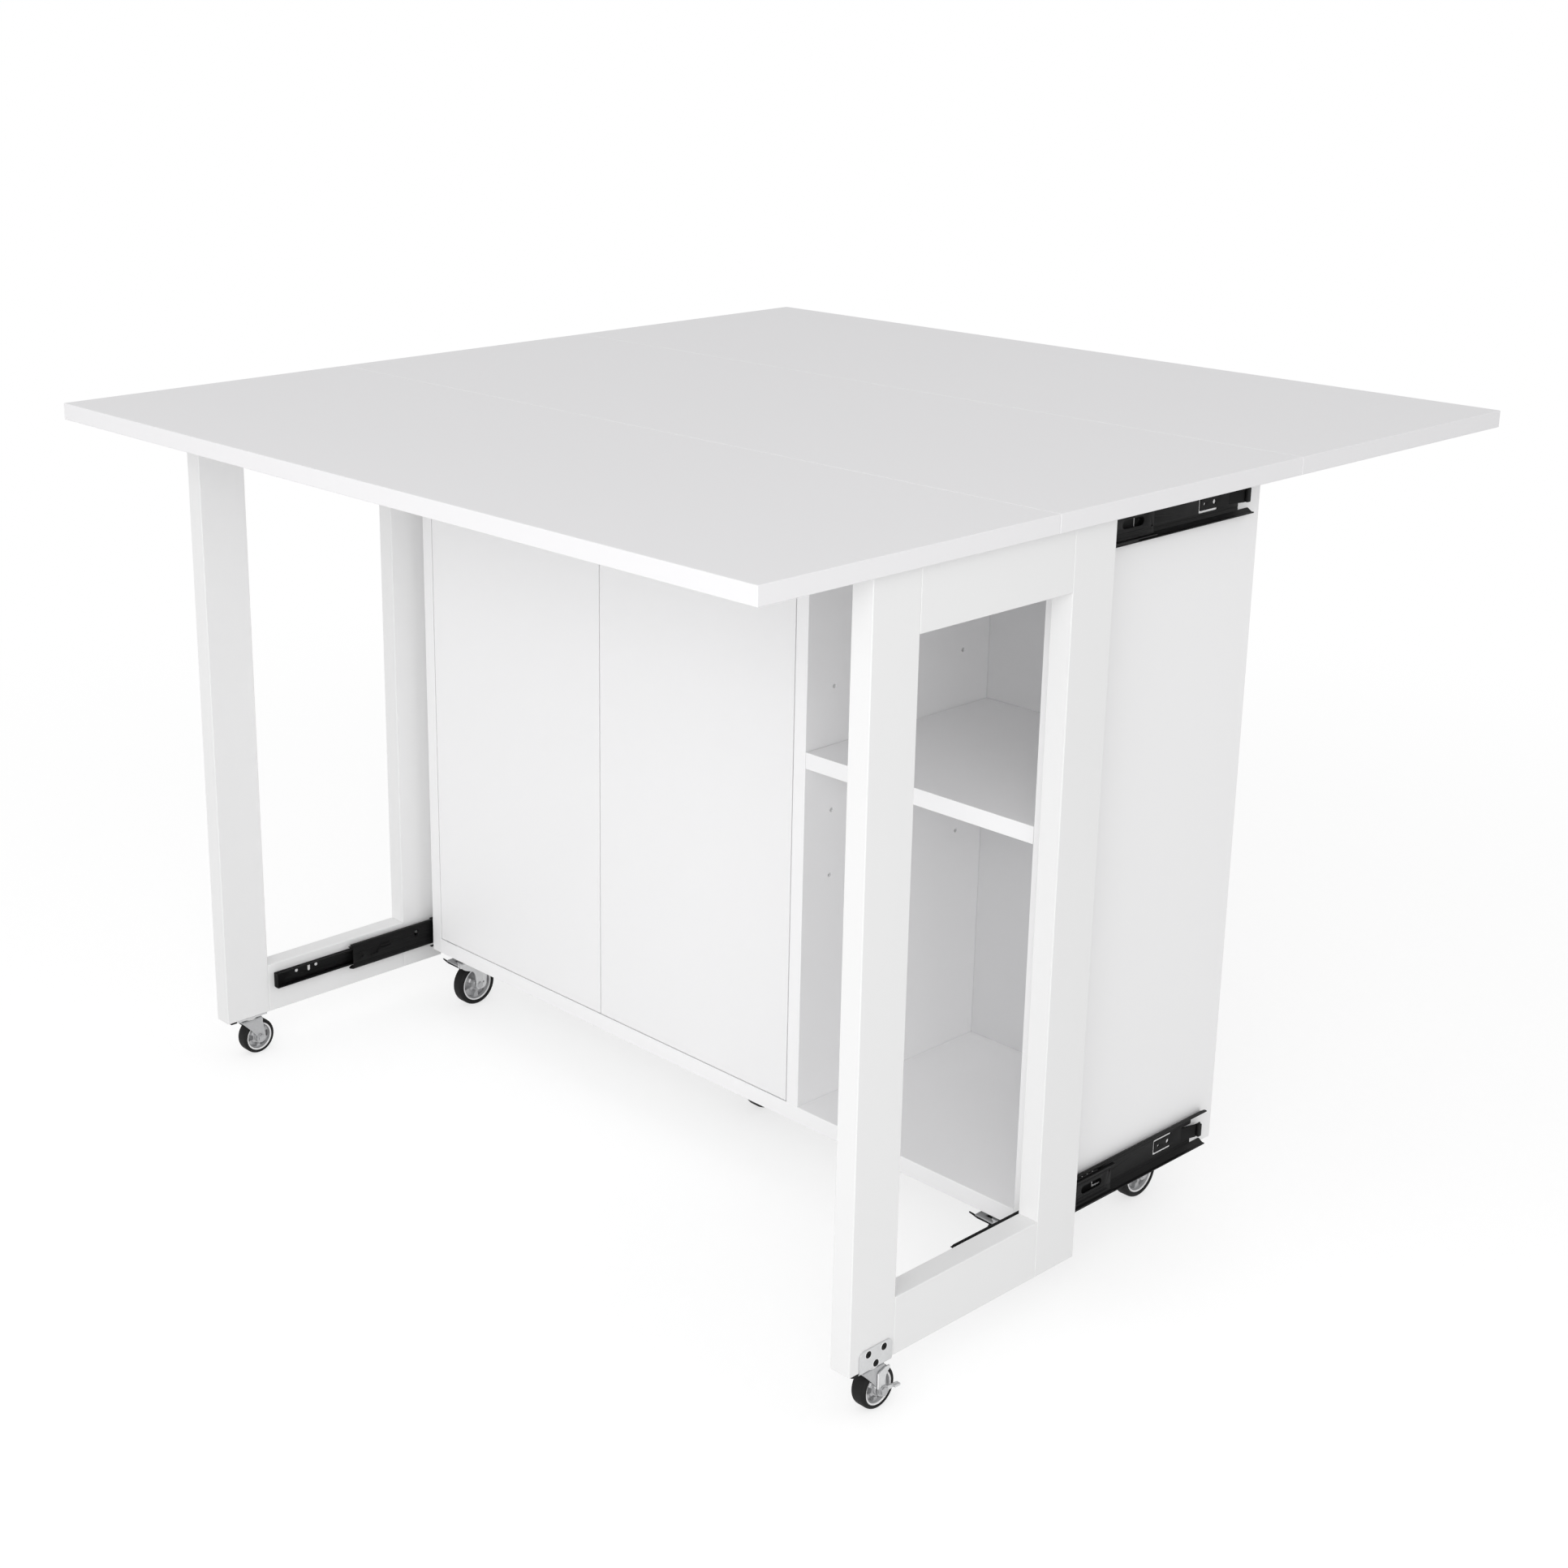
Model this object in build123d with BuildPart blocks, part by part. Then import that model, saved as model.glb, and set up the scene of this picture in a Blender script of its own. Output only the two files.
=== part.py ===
from build123d import *
import os

# Rolling kitchen island with a cupboard, an open bay, two pull-out gates and a drop leaf at each seam.
# Frame: millimetres, +X right, +Y back, +Z up, origin on the floor below the middle of the worktop.

# Worktop
top_length = 1144.0
top_depth = 1200.0
top_height = 882.8
top_board = 19.4
top_edge_round = 1.0
seam_gap = 0.4

# Drop-leaf hinges under both seams
hinge_end_inset = 172.0
hinge_setback = 12.5
strap_width = 50.0
strap_reach = 48.0
strap_thickness = 2.0
strap_air = 0.2
strap_screw_r = 2.2
knuckle_r = 3.0
knuckle_gap = 0.4
hinge_pin_r = 1.5
running_gap = 0.06

# Cabinet
gate_overhang = 11.0
slide_room = 17.5
cabinet_front_setback = 76.4
cabinet_past_seam = 8.0
cabinet_bottom = 76.7
panel = 18.2
bottom_board = 20.3
back_recess = 2.8
back_top_gap = 3.0
board_edge_round = 0.6
cupboard_width = 658.9
stretcher_depth = 70.0
rear_stretcher_setback = 37.0

# Shelves and their pins
shelf_board = 19.3
shelf_side_gap = 0.4
cupboard_shelf_setback = 24.0
pin_r = 2.5
pin_depth = 8.0
pin_out = 7.5
pin_seat = 0.2
bay_pin_height = 511.4
lower_pin_height = 375.8
middle_pin_height = 454.7
upper_pin_height = 601.7
pin_row_front = 44.5
pin_row_pitch = 219.0

# Doors, their pivot hinges and push catches
door_gap = 1.5
pivot_inset = 12.0
pivot_depth = 5.0
pivot_pin_r = 2.0
pivot_pin_length = 10.0
pivot_plate = 1.2
pivot_plate_length = 26.0
pivot_plate_width = 8.6
catch_from_edge = 26.0
catch_length = 48.0
catch_width = 14.0
catch_height = 12.0
catch_setback = 8.9
plunger_r = 3.0
plunger_head_r = 4.2
plunger_head = 3.0
plunger_stem = 26.0
plunger_air = 0.3

# Gate frames at both ends
gate_board = 25.4
gate_front_setback = 155.1
gate_overlap = 26.5
gate_rear_room = 57.1
gate_bottom = 56.0
gate_top_gap = 1.0
post_width = 64.0
rail_height = 65.0
gate_edge_round = 1.0

# Slides between the cabinet ends and the gates
slide_low_rise = 22.1
slide_high_drop = 24.4
slide_sheet = 1.2
outer_front_inset = 1.3
outer_rear_room = 22.3
outer_height = 42.1
outer_web_height = 34.3
outer_flare = 5.7
outer_lip = 3.4
mid_closed_lead = 5.4
mid_shortening = 43.2
mid_height = 34.1
mid_web_height = 29.0
mid_offset = 6.0
mid_flare = 1.5
mid_depth = 6.5
inner_front_inset = 72.9
inner_rear_inset = 0.9
inner_height = 20.8
inner_depth = 8.9
inner_hole_r = 2.4
inner_front_hole = 35.0
inner_rear_hole = 66.1
inner_far_hole = 232.4
inner_row_lift = 3.0
inner_slot = 54.4
inner_slot_width = 4.6
inner_slot_height = 9.6
cage_length = 98.0
cage_width = 3.0
cage_gap = 0.15
cage_inset = 8.0
tab_cut_start = 219.2
tab_cut_length = 33.0
tab_cut_height = 18.6
tab_cut_width = 2.6
tab_cut_lift = 1.0
tab_front_hole = 229.1
tab_front_hole_r = 1.6
tab_rear_hole = 246.1
tab_rear_hole_r = 2.6
stop_window_start = 272.0
stop_notch_start = 289.3
stop_lance_gap = 0.3
stop_arm_run = 20.0
stop_arm_rise = 5.2
stop_arm_end = 9.0
bumper_height = 15.6
bumper_length = 6.0
bumper_thickness = 3.6
bumper_round = 2.6
mid_slot_start = 212.7
mid_slot_length = 35.4
mid_slot_height = 9.4
mid_hole_start = 106.3
mid_hole_r = 2.3
mid_hole_lift = 5.9
latch_cut_start = 108.0
latch_cut_length = 15.5
latch_cut_height = 15.6
latch_cut_width = 2.8

# Casters under the gates
bracket_sheet = 2.0
bracket_width = 46.8
bracket_rise = 23.3
bracket_corner_round = 6.5
bracket_to_post = 12.9
gate_caster_inset = 36.9
bracket_hole_r = 2.2
bracket_hole_pitch = 22.6
bracket_upper_rise = 19.8
bracket_lower_rise = 6.0
gate_wheel_r = 23.3
gate_wheel_width = 18.3
gate_wheel_trail = 12.0
gate_tyre_depth = 5.2
gate_shoulder = 4.2
lever_sheet = 1.6
lever_gap = 0.25
lever_boss_r = 5.6
lever_arm_width = 5.0
lever_up_reach = 26.0
lever_tab_reach = 24.5
lever_tab_out = 8.5
lever_tab_width = 8.0
lever_tab_sheet = 2.4

# Casters under the cabinet
caster_row_shift = -9.0
caster_end_inset = 49.1
caster_front_inset = 48.6
caster_rear_inset = 48.0
middle_caster_x = 12.0
middle_caster_forward = 40.5
plate_side = 52.0
plate_sheet = 2.5
plate_corner_round = 5.0
plate_hole_r = 2.7
plate_hole_pitch = 40.0
wheel_r = 30.0
wheel_width = 18.0
wheel_trail = -11.0
tyre_depth = 6.6
wheel_shoulder = 4.2
pedal_width = 18.0
pedal_reach = 37.5
pedal_sheet = 2.0
pedal_pivot_offset = 13.5
pedal_barrel_r = 2.6
pedal_pin_r = 1.5
pedal_front = 45.0
pedal_ear = 1.6
pedal_slot_length = 11.0
pedal_slot_width = 5.0
pedal_slot_place = 15.5

# Shared by both kinds of caster
fork_sheet = 2.2
fork_side_gap = 1.6
fork_top_width = 32.0
fork_boss_r = 7.0
race_r = 12.0
race_thickness = 1.6
race_air = 0.3
kingpin_r = 4.0
kingpin_recess = 0.4
axle_r = 3.0
axle_head_r = 5.0
axle_head = 2.6
hub_boss_r = 7.5
hub_rim = 2.0
hub_web = 6.0
hub_recess = 1.5
hub_boss_gap = 0.4
spoke_count = 6
tyre_fit = 0.05

# Places worked out from the sizes above
underside = top_height - top_board
leaf_depth = top_depth / 3
seam_y = leaf_depth / 2
hinge_spacing = top_length / 2 - hinge_end_inset
hinge_y = seam_y + hinge_setback
hinge_z = underside - strap_air - knuckle_r
gate_outer_half = top_length / 2 - gate_overhang
gate_inner_half = gate_outer_half - gate_board
cabinet_half = gate_inner_half - slide_room
inside_half = cabinet_half - panel
cabinet_front = -seam_y + cabinet_front_setback
cabinet_rear = seam_y + cabinet_past_seam
back_rear = cabinet_rear - back_recess
back_front = back_rear - panel
floor_top = cabinet_bottom + bottom_board
stretcher_bottom = underside - panel
divider_left = -inside_half + cupboard_width
divider_right = divider_left + panel
door_back = cabinet_front + panel
door_bottom = floor_top + door_gap
door_top = stretcher_bottom - door_gap
door_width = (cupboard_width - 3 * door_gap) / 2
gate_front = -top_depth / 2 + gate_front_setback
gate_rear = cabinet_front + gate_overlap
gate_travel = cabinet_rear - gate_rear_room - gate_rear
gate_top = underside - gate_top_gap
slide_heights = (cabinet_bottom + slide_low_rise, underside - slide_high_drop)
outer_front = cabinet_front + outer_front_inset
outer_length = cabinet_rear - outer_rear_room - outer_front
mid_front = cabinet_front - mid_closed_lead - gate_travel / 2
mid_length = outer_length - mid_shortening
inner_front = gate_front + inner_front_inset
inner_length = gate_rear - inner_rear_inset - inner_front
pin_rows = (cabinet_front + pin_row_front, cabinet_front + pin_row_front + pin_row_pitch)
spare_pin_heights = (lower_pin_height, middle_pin_height, upper_pin_height)


def save(part: Part, label: str) -> None:
    """Names a finished piece and writes it to its own file."""
    part.label = label
    export_step(part, f"parts/{label}.step")


def board(x0, x1, y0, y1, z0, z1, edge_round):
    """A flat board between two corners, with its edges eased."""
    with BuildPart() as piece:
        with BuildSketch(Plane.XY.offset(z0)):
            with Locations(((x0 + x1) / 2, (y0 + y1) / 2)):
                Rectangle(x1 - x0, y1 - y0)
        extrude(amount=z1 - z0)
        fillet(piece.edges(), radius=edge_round)
    return piece.part


def bored(blank, mouths, direction, radius, depth):
    """The blank with blind round holes of one depth, each starting at its mouth."""
    with BuildPart() as piece:
        add(blank)
        for mouth in mouths:
            with BuildSketch(Plane(origin=mouth, z_dir=direction)):
                Circle(radius)
            extrude(amount=depth, mode=Mode.SUBTRACT)
    return piece.part


# Worktop boards
half_length = top_length / 2
save(
    board(-half_length, half_length, -seam_y + seam_gap / 2, seam_y - seam_gap / 2,
          underside, top_height, top_edge_round),
    "centre_top",
)
save(
    board(-half_length, half_length, -top_depth / 2, -seam_y - seam_gap / 2,
          underside, top_height, top_edge_round),
    "front_leaf",
)
save(
    board(-half_length, half_length, seam_y + seam_gap / 2, top_depth / 2,
          underside, top_height, top_edge_round),
    "rear_leaf",
)


# Drop-leaf hinges: the fixed strap carries the two end knuckles, the leaf strap the middle one
hinge_places = (-hinge_spacing, 0.0, hinge_spacing)
knuckle_length = (strap_width - 2 * knuckle_gap) / 3
strap_z = hinge_z + knuckle_r - strap_thickness
knuckle_clear = knuckle_r + knuckle_gap


def hinge_strap(x, toward_leaf, knuckles):
    """One strap with its knuckles, drawn for the rear seam; toward_leaf is +1 for the leaf's strap."""
    far = hinge_y + toward_leaf * strap_reach
    near = hinge_y + toward_leaf * knuckle_clear
    with BuildPart() as strap:
        with BuildSketch(Plane.XY.offset(strap_z)):
            with Locations((x, (far + near) / 2)):
                RectangleRounded(strap_width, abs(far - near), knuckle_r)
            for k in knuckles:
                tongue_y = hinge_y + toward_leaf * strap_width / 8
                with Locations((x + k * (knuckle_length + knuckle_gap), tongue_y)):
                    Rectangle(knuckle_length, strap_width / 4)
        extrude(amount=strap_thickness)
        for k in knuckles:
            start = x + k * (knuckle_length + knuckle_gap) - knuckle_length / 2
            with BuildSketch(Plane.YZ.offset(start)):
                with Locations((hinge_y, hinge_z)):
                    Circle(knuckle_r)
            extrude(amount=knuckle_length)
        with BuildSketch(Plane.YZ.offset(x - strap_width)):
            with Locations((hinge_y, hinge_z)):
                Circle(hinge_pin_r + running_gap)
        extrude(amount=2 * strap_width, mode=Mode.SUBTRACT)
        screw_y = hinge_y + toward_leaf * strap_reach * 2 / 3
        with BuildSketch(Plane.XY.offset(strap_z)):
            with Locations((x - strap_width / 3, screw_y), (x, screw_y), (x + strap_width / 3, screw_y)):
                Circle(strap_screw_r)
        extrude(amount=strap_thickness, mode=Mode.SUBTRACT)
    return strap.part


with BuildPart() as rear_leaf_straps:
    for x in hinge_places:
        add(hinge_strap(x, 1, (0,)))
save(rear_leaf_straps.part, "rear_leaf_straps")

with BuildPart() as front_leaf_straps:
    add(mirror(rear_leaf_straps.part, about=Plane.XZ))
save(front_leaf_straps.part, "front_leaf_straps")

with BuildPart() as leaf_hinges:
    for x in hinge_places:
        add(hinge_strap(x, -1, (-1, 1)))
        with BuildSketch(Plane.YZ.offset(x - strap_width / 2)):
            with Locations((hinge_y, hinge_z)):
                Circle(hinge_pin_r)
        extrude(amount=strap_width)
    mirror(about=Plane.XZ)
save(leaf_hinges.part, "leaf_hinges")


# Cabinet carcass
def pin_mouths(x, heights):
    """Mouths of the shelf-pin holes on one upright face."""
    return [(x, y, z) for y in pin_rows for z in heights]


bay_heights = (*spare_pin_heights, bay_pin_height)
left_blank = board(-cabinet_half, -inside_half, cabinet_front, cabinet_rear,
                   cabinet_bottom, underside, board_edge_round)
right_blank = board(inside_half, cabinet_half, cabinet_front, cabinet_rear,
                    cabinet_bottom, underside, board_edge_round)
divider_blank = board(divider_left, divider_right, cabinet_front, back_front,
                      floor_top, stretcher_bottom, board_edge_round)
bore_r = pin_r + running_gap
left_mouths = pin_mouths(-inside_half, spare_pin_heights)
right_mouths = pin_mouths(inside_half, bay_heights)
bay_mouths = pin_mouths(divider_right, bay_heights)
cupboard_mouths = pin_mouths(divider_left, spare_pin_heights)
divider_bay_side = bored(divider_blank, bay_mouths, (-1, 0, 0), bore_r, pin_depth)
save(bored(left_blank, left_mouths, (-1, 0, 0), bore_r, pin_depth), "left_side")
save(bored(right_blank, right_mouths, (1, 0, 0), bore_r, pin_depth), "right_side")
save(bored(divider_bay_side, cupboard_mouths, (1, 0, 0), bore_r, pin_depth), "divider")
save(
    board(-inside_half, inside_half, cabinet_front, back_front,
          cabinet_bottom, floor_top, board_edge_round),
    "bottom_board",
)
save(
    board(-inside_half, inside_half, back_front, back_rear, cabinet_bottom,
          underside - back_top_gap, board_edge_round),
    "back_board",
)

rear_stretcher_back = back_front - rear_stretcher_setback
with BuildPart() as top_stretchers:
    add(board(-inside_half, inside_half, cabinet_front, cabinet_front + stretcher_depth,
              stretcher_bottom, underside, board_edge_round))
    add(board(-inside_half, inside_half, rear_stretcher_back - stretcher_depth, rear_stretcher_back,
              stretcher_bottom, underside, board_edge_round))
save(top_stretchers.part, "top_stretchers")

# Shelves rest on four pins each
bay_shelf_bottom = bay_pin_height + pin_r + pin_seat
cupboard_shelf_bottom = middle_pin_height + pin_r + pin_seat
save(
    board(divider_right + shelf_side_gap, inside_half - shelf_side_gap, cabinet_front,
          back_front - shelf_side_gap, bay_shelf_bottom, bay_shelf_bottom + shelf_board, board_edge_round),
    "bay_shelf",
)
save(
    board(-inside_half + shelf_side_gap, divider_left - shelf_side_gap,
          cabinet_front + cupboard_shelf_setback, back_front - shelf_side_gap,
          cupboard_shelf_bottom, cupboard_shelf_bottom + shelf_board, board_edge_round),
    "cupboard_shelf",
)

with BuildPart() as shelf_pins:
    pin_seats = (
        (divider_right, 1, bay_pin_height),
        (inside_half, -1, bay_pin_height),
        (-inside_half, 1, middle_pin_height),
        (divider_left, -1, middle_pin_height),
    )
    for face_x, outward, height in pin_seats:
        for row in pin_rows:
            with BuildSketch(Plane(origin=(face_x, row, height), z_dir=(outward, 0, 0))):
                Circle(pin_r)
            extrude(amount=pin_out)
            with BuildSketch(Plane(origin=(face_x, row, height), z_dir=(-outward, 0, 0))):
                Circle(pin_r)
            extrude(amount=pin_depth - running_gap)
save(shelf_pins.part, "shelf_pins")


# Inset doors, bored for the pivot pins at the top and bottom of the hinge side
left_door_x0 = -inside_half + door_gap
right_door_x1 = divider_left - door_gap
pivot_y = cabinet_front + pivot_depth
left_pivot_x = left_door_x0 + pivot_inset
right_pivot_x = right_door_x1 - pivot_inset
pivot_bore = pivot_pin_length + 2 * running_gap


def door(x0, x1, pivot_x):
    """One door with its two pivot bores."""
    blank = board(x0, x1, cabinet_front, door_back, door_bottom, door_top, board_edge_round)
    low = bored(blank, [(pivot_x, pivot_y, door_bottom)], (0, 0, 1), pivot_pin_r + running_gap, pivot_bore)
    return bored(low, [(pivot_x, pivot_y, door_top)], (0, 0, -1), pivot_pin_r + running_gap, pivot_bore)


save(door(left_door_x0, left_door_x0 + door_width, left_pivot_x), "left_door")
save(door(right_door_x1 - door_width, right_door_x1, right_pivot_x), "right_door")

# Pivot hinges: thin plates on the bottom board and under the front stretcher, each with its pin
with BuildPart() as door_pivots:
    plate_inset = pivot_plate_length / 2 - pivot_plate_width / 2
    for pivot_x, inward in ((left_pivot_x, 1), (right_pivot_x, -1)):
        for z, up in ((floor_top, 1), (stretcher_bottom, -1)):
            with BuildSketch(Plane(origin=(pivot_x + inward * plate_inset, pivot_y, z), z_dir=(0, 0, up))):
                SlotOverall(pivot_plate_length, pivot_plate_width)
            extrude(amount=pivot_plate)
            with BuildSketch(Plane(origin=(pivot_x, pivot_y, z), z_dir=(0, 0, up))):
                Circle(pivot_pin_r)
            extrude(amount=door_gap + pivot_pin_length)
save(door_pivots.part, "door_pivots")

# Push catches hang under the front stretcher behind the free edges of the doors
free_edge = left_door_x0 + door_width + door_gap / 2
catch_front = door_back + catch_setback
catch_z = stretcher_bottom - catch_height / 2
plunger_front = door_back + plunger_air
with BuildPart() as push_catches:
    for side in (-1, 1):
        catch_x = free_edge + side * catch_from_edge
        with BuildSketch(Plane(origin=(catch_x, catch_front, catch_z), x_dir=(1, 0, 0), z_dir=(0, 1, 0))):
            RectangleRounded(catch_width, catch_height, board_edge_round)
            Circle(plunger_r + running_gap, mode=Mode.SUBTRACT)
        extrude(amount=catch_length)
save(push_catches.part, "push_catches")


def plunger(x):
    """A plunger with a round head that the door presses."""
    with BuildPart() as piece:
        with BuildSketch(Plane(origin=(x, plunger_front, catch_z), z_dir=(0, 1, 0))):
            Circle(plunger_head_r)
        extrude(amount=plunger_head)
        with BuildSketch(Plane(origin=(x, plunger_front, catch_z), z_dir=(0, 1, 0))):
            Circle(plunger_r)
        extrude(amount=plunger_head + plunger_stem)
    return piece.part


save(plunger(free_edge - catch_from_edge), "left_plunger")
save(plunger(free_edge + catch_from_edge), "right_plunger")


# Gate frames: two posts with two rails butted between them, at each end of the cabinet
for name, side in (("left", -1), ("right", 1)):
    x0, x1 = sorted((side * gate_inner_half, side * gate_outer_half))
    front_post_back = gate_front + post_width
    rear_post_front = gate_rear - post_width
    save(board(x0, x1, gate_front, front_post_back, gate_bottom, gate_top, gate_edge_round),
         f"{name}_gate_front_post")
    save(board(x0, x1, rear_post_front, gate_rear, gate_bottom, gate_top, gate_edge_round),
         f"{name}_gate_rear_post")
    save(board(x0, x1, front_post_back, rear_post_front,
               gate_bottom, gate_bottom + rail_height, gate_edge_round),
         f"{name}_gate_bottom_rail")
    save(board(x0, x1, front_post_back, rear_post_front,
               gate_top - rail_height, gate_top, gate_edge_round),
         f"{name}_gate_top_rail")


# Slides, drawn for the right end and mirrored to the left
def channel(points, side, front, length, z):
    """A bent-sheet channel that runs back from front; points are (out from the cabinet end, up) pairs."""
    section = Plane(origin=(cabinet_half, front + length, z), x_dir=(1, 0, 0), z_dir=(0, -1, 0))
    with BuildPart() as piece:
        with BuildSketch(section):
            with BuildLine():
                Polyline(*points)
                offset(amount=slide_sheet, side=side)
            make_face()
        extrude(amount=length)
    return piece.part


outer_half = outer_height / 2
outer_profile = [
    (outer_flare + outer_lip, outer_half),
    (outer_flare, outer_half),
    (0, outer_web_height / 2),
    (0, -outer_web_height / 2),
    (outer_flare, -outer_half),
    (outer_flare + outer_lip, -outer_half),
]
mid_half = mid_height / 2
mid_profile = [
    (mid_offset + mid_depth, mid_half),
    (mid_offset + mid_flare, mid_half),
    (mid_offset, mid_web_height / 2),
    (mid_offset, -mid_web_height / 2),
    (mid_offset + mid_flare, -mid_half),
    (mid_offset + mid_depth, -mid_half),
]
inner_half = inner_height / 2
gate_face = gate_inner_half - cabinet_half
inner_profile = [
    (gate_face - inner_depth, inner_half),
    (gate_face, inner_half),
    (gate_face, -inner_half),
    (gate_face - inner_depth, -inner_half),
]


def outer_member(z, upright):
    """The member on the cabinet end, with its cut tab, latch cut and bent stop arm.

    upright is 1, or -1 for the upper slide, which is the same member turned upside down.
    """
    with BuildPart() as piece:
        add(channel(outer_profile, Side.LEFT, outer_front, outer_length, z))
        with BuildSketch(Plane.YZ.offset(cabinet_half)):
            tab_y = outer_front + tab_cut_start
            tab_z = z + tab_cut_lift
            with Locations((tab_y + tab_cut_width / 2, tab_z)):
                Rectangle(tab_cut_width, tab_cut_height)
            half_rise = (tab_cut_height - tab_cut_width) / 2
            for level in (-1, 1):
                with Locations((tab_y + tab_cut_length / 2, tab_z + level * half_rise)):
                    SlotOverall(tab_cut_length, tab_cut_width)
            for place, radius in (
                (tab_front_hole, tab_front_hole_r),
                (tab_rear_hole, tab_rear_hole_r),
            ):
                with Locations((outer_front + place, tab_z)):
                    Circle(radius)
            latch_y = outer_front + latch_cut_start
            with Locations((latch_y + latch_cut_width / 2, z)):
                Rectangle(latch_cut_width, latch_cut_height)
            latch_z = z - upright * (latch_cut_height - latch_cut_width) / 2
            with Locations((latch_y + latch_cut_length / 2, latch_z)):
                Rectangle(latch_cut_length, latch_cut_width)
            window_length = outer_length - stop_window_start
            with Locations((outer_front + stop_window_start + window_length / 2, z)):
                Rectangle(window_length, bumper_height + 2 * stop_lance_gap)
            notch_length = outer_length - stop_notch_start
            with Locations((outer_front + stop_notch_start + notch_length / 2, z)):
                Rectangle(notch_length, outer_web_height)
        extrude(amount=slide_sheet, mode=Mode.SUBTRACT)
        arm_y = outer_front + stop_window_start
        with BuildSketch(Plane.XY.offset(z - bumper_height / 2)):
            with BuildLine():
                Polyline(
                    (cabinet_half, arm_y - slide_sheet),
                    (cabinet_half, arm_y),
                    (cabinet_half + stop_arm_rise, arm_y + stop_arm_run),
                    (cabinet_half + stop_arm_rise, arm_y + stop_arm_run + stop_arm_end),
                )
                offset(amount=slide_sheet, side=Side.RIGHT)
            make_face()
        extrude(amount=bumper_height)
    return piece.part


def mid_member(z, upright):
    """The intermediate member, with its long slot and screw hole; upright is 1, or -1 upside down."""
    with BuildPart() as piece:
        add(channel(mid_profile, Side.LEFT, mid_front, mid_length, z))
        with BuildSketch(Plane.YZ.offset(cabinet_half + mid_offset)):
            with Locations((mid_front + mid_slot_start + mid_slot_length / 2, z)):
                SlotOverall(mid_slot_length, mid_slot_height)
            with Locations((mid_front + mid_hole_start, z + upright * mid_hole_lift)):
                Circle(mid_hole_r)
        extrude(amount=slide_sheet, mode=Mode.SUBTRACT)
    return piece.part


def inner_member(z, upright):
    """The member on the gate, with three screw holes, an upright slot and a folded front end.

    upright is 1, or -1 upside down.
    """
    with BuildPart() as piece:
        add(channel(inner_profile, Side.RIGHT, inner_front, inner_length, z))
        with BuildSketch(Plane.XY.offset(z - inner_half)):
            with Locations((gate_inner_half - inner_depth / 2, inner_front + slide_sheet / 2)):
                Rectangle(inner_depth, slide_sheet)
        extrude(amount=inner_height)
        with BuildSketch(Plane.YZ.offset(gate_inner_half - slide_sheet)):
            row_z = z + upright * inner_row_lift
            for place in (inner_front_hole, inner_rear_hole, inner_far_hole):
                with Locations((inner_front + place, row_z)):
                    Circle(inner_hole_r)
            with Locations((inner_front + inner_slot, row_z)):
                SlotOverall(inner_slot_height, inner_slot_width, rotation=90)
        extrude(amount=slide_sheet, mode=Mode.SUBTRACT)
    return piece.part


def cage(height_from, height_to, depth_from, front, z):
    """A ball cage: a strip between two members, over and under the middle of the slide."""
    with BuildPart() as piece:
        middle = (height_from + height_to) / 2
        thickness = height_to - height_from - 2 * cage_gap
        for level in (-1, 1):
            section = Plane(
                origin=(cabinet_half + depth_from + cage_width / 2, front + cage_length, z + level * middle),
                x_dir=(1, 0, 0),
                z_dir=(0, -1, 0),
            )
            with BuildSketch(section):
                RectangleRounded(cage_width, thickness, board_edge_round)
            extrude(amount=cage_length)
    return piece.part


outer_cage_front = outer_front + cage_inset
inner_cage_front = mid_front + cage_inset
outer_cage_depth = mid_offset + mid_flare
inner_cage_depth = gate_face - inner_depth + cage_gap
with BuildPart() as slide_outers:
    for z, upright in zip(slide_heights, (1, -1)):
        add(outer_member(z, upright))
    mirror(about=Plane.YZ)
save(slide_outers.part, "slide_outers")

with BuildPart() as right_slide_mids:
    for z, upright in zip(slide_heights, (1, -1)):
        add(mid_member(z, upright))
        add(cage(mid_half, outer_half - slide_sheet, outer_cage_depth, outer_cage_front, z))
        add(cage(inner_half, mid_half - slide_sheet, inner_cage_depth, inner_cage_front, z))
save(right_slide_mids.part, "right_slide_mids")
save(mirror(right_slide_mids.part, about=Plane.YZ), "left_slide_mids")

with BuildPart() as right_slide_inners:
    for z, upright in zip(slide_heights, (1, -1)):
        add(inner_member(z, upright))
save(right_slide_inners.part, "right_slide_inners")
save(mirror(right_slide_inners.part, about=Plane.YZ), "left_slide_inners")

with BuildPart() as slide_bumpers:
    bumper_y = outer_front + stop_window_start + stop_arm_run + stop_arm_end / 2
    bumper_x = cabinet_half + stop_arm_rise + slide_sheet
    for z in slide_heights:
        with BuildSketch(Plane.YZ.offset(bumper_x)):
            with Locations((bumper_y, z)):
                RectangleRounded(bumper_length, bumper_height, bumper_round)
        extrude(amount=bumper_thickness)
    mirror(about=Plane.YZ)
save(slide_bumpers.part, "slide_bumpers")


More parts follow.
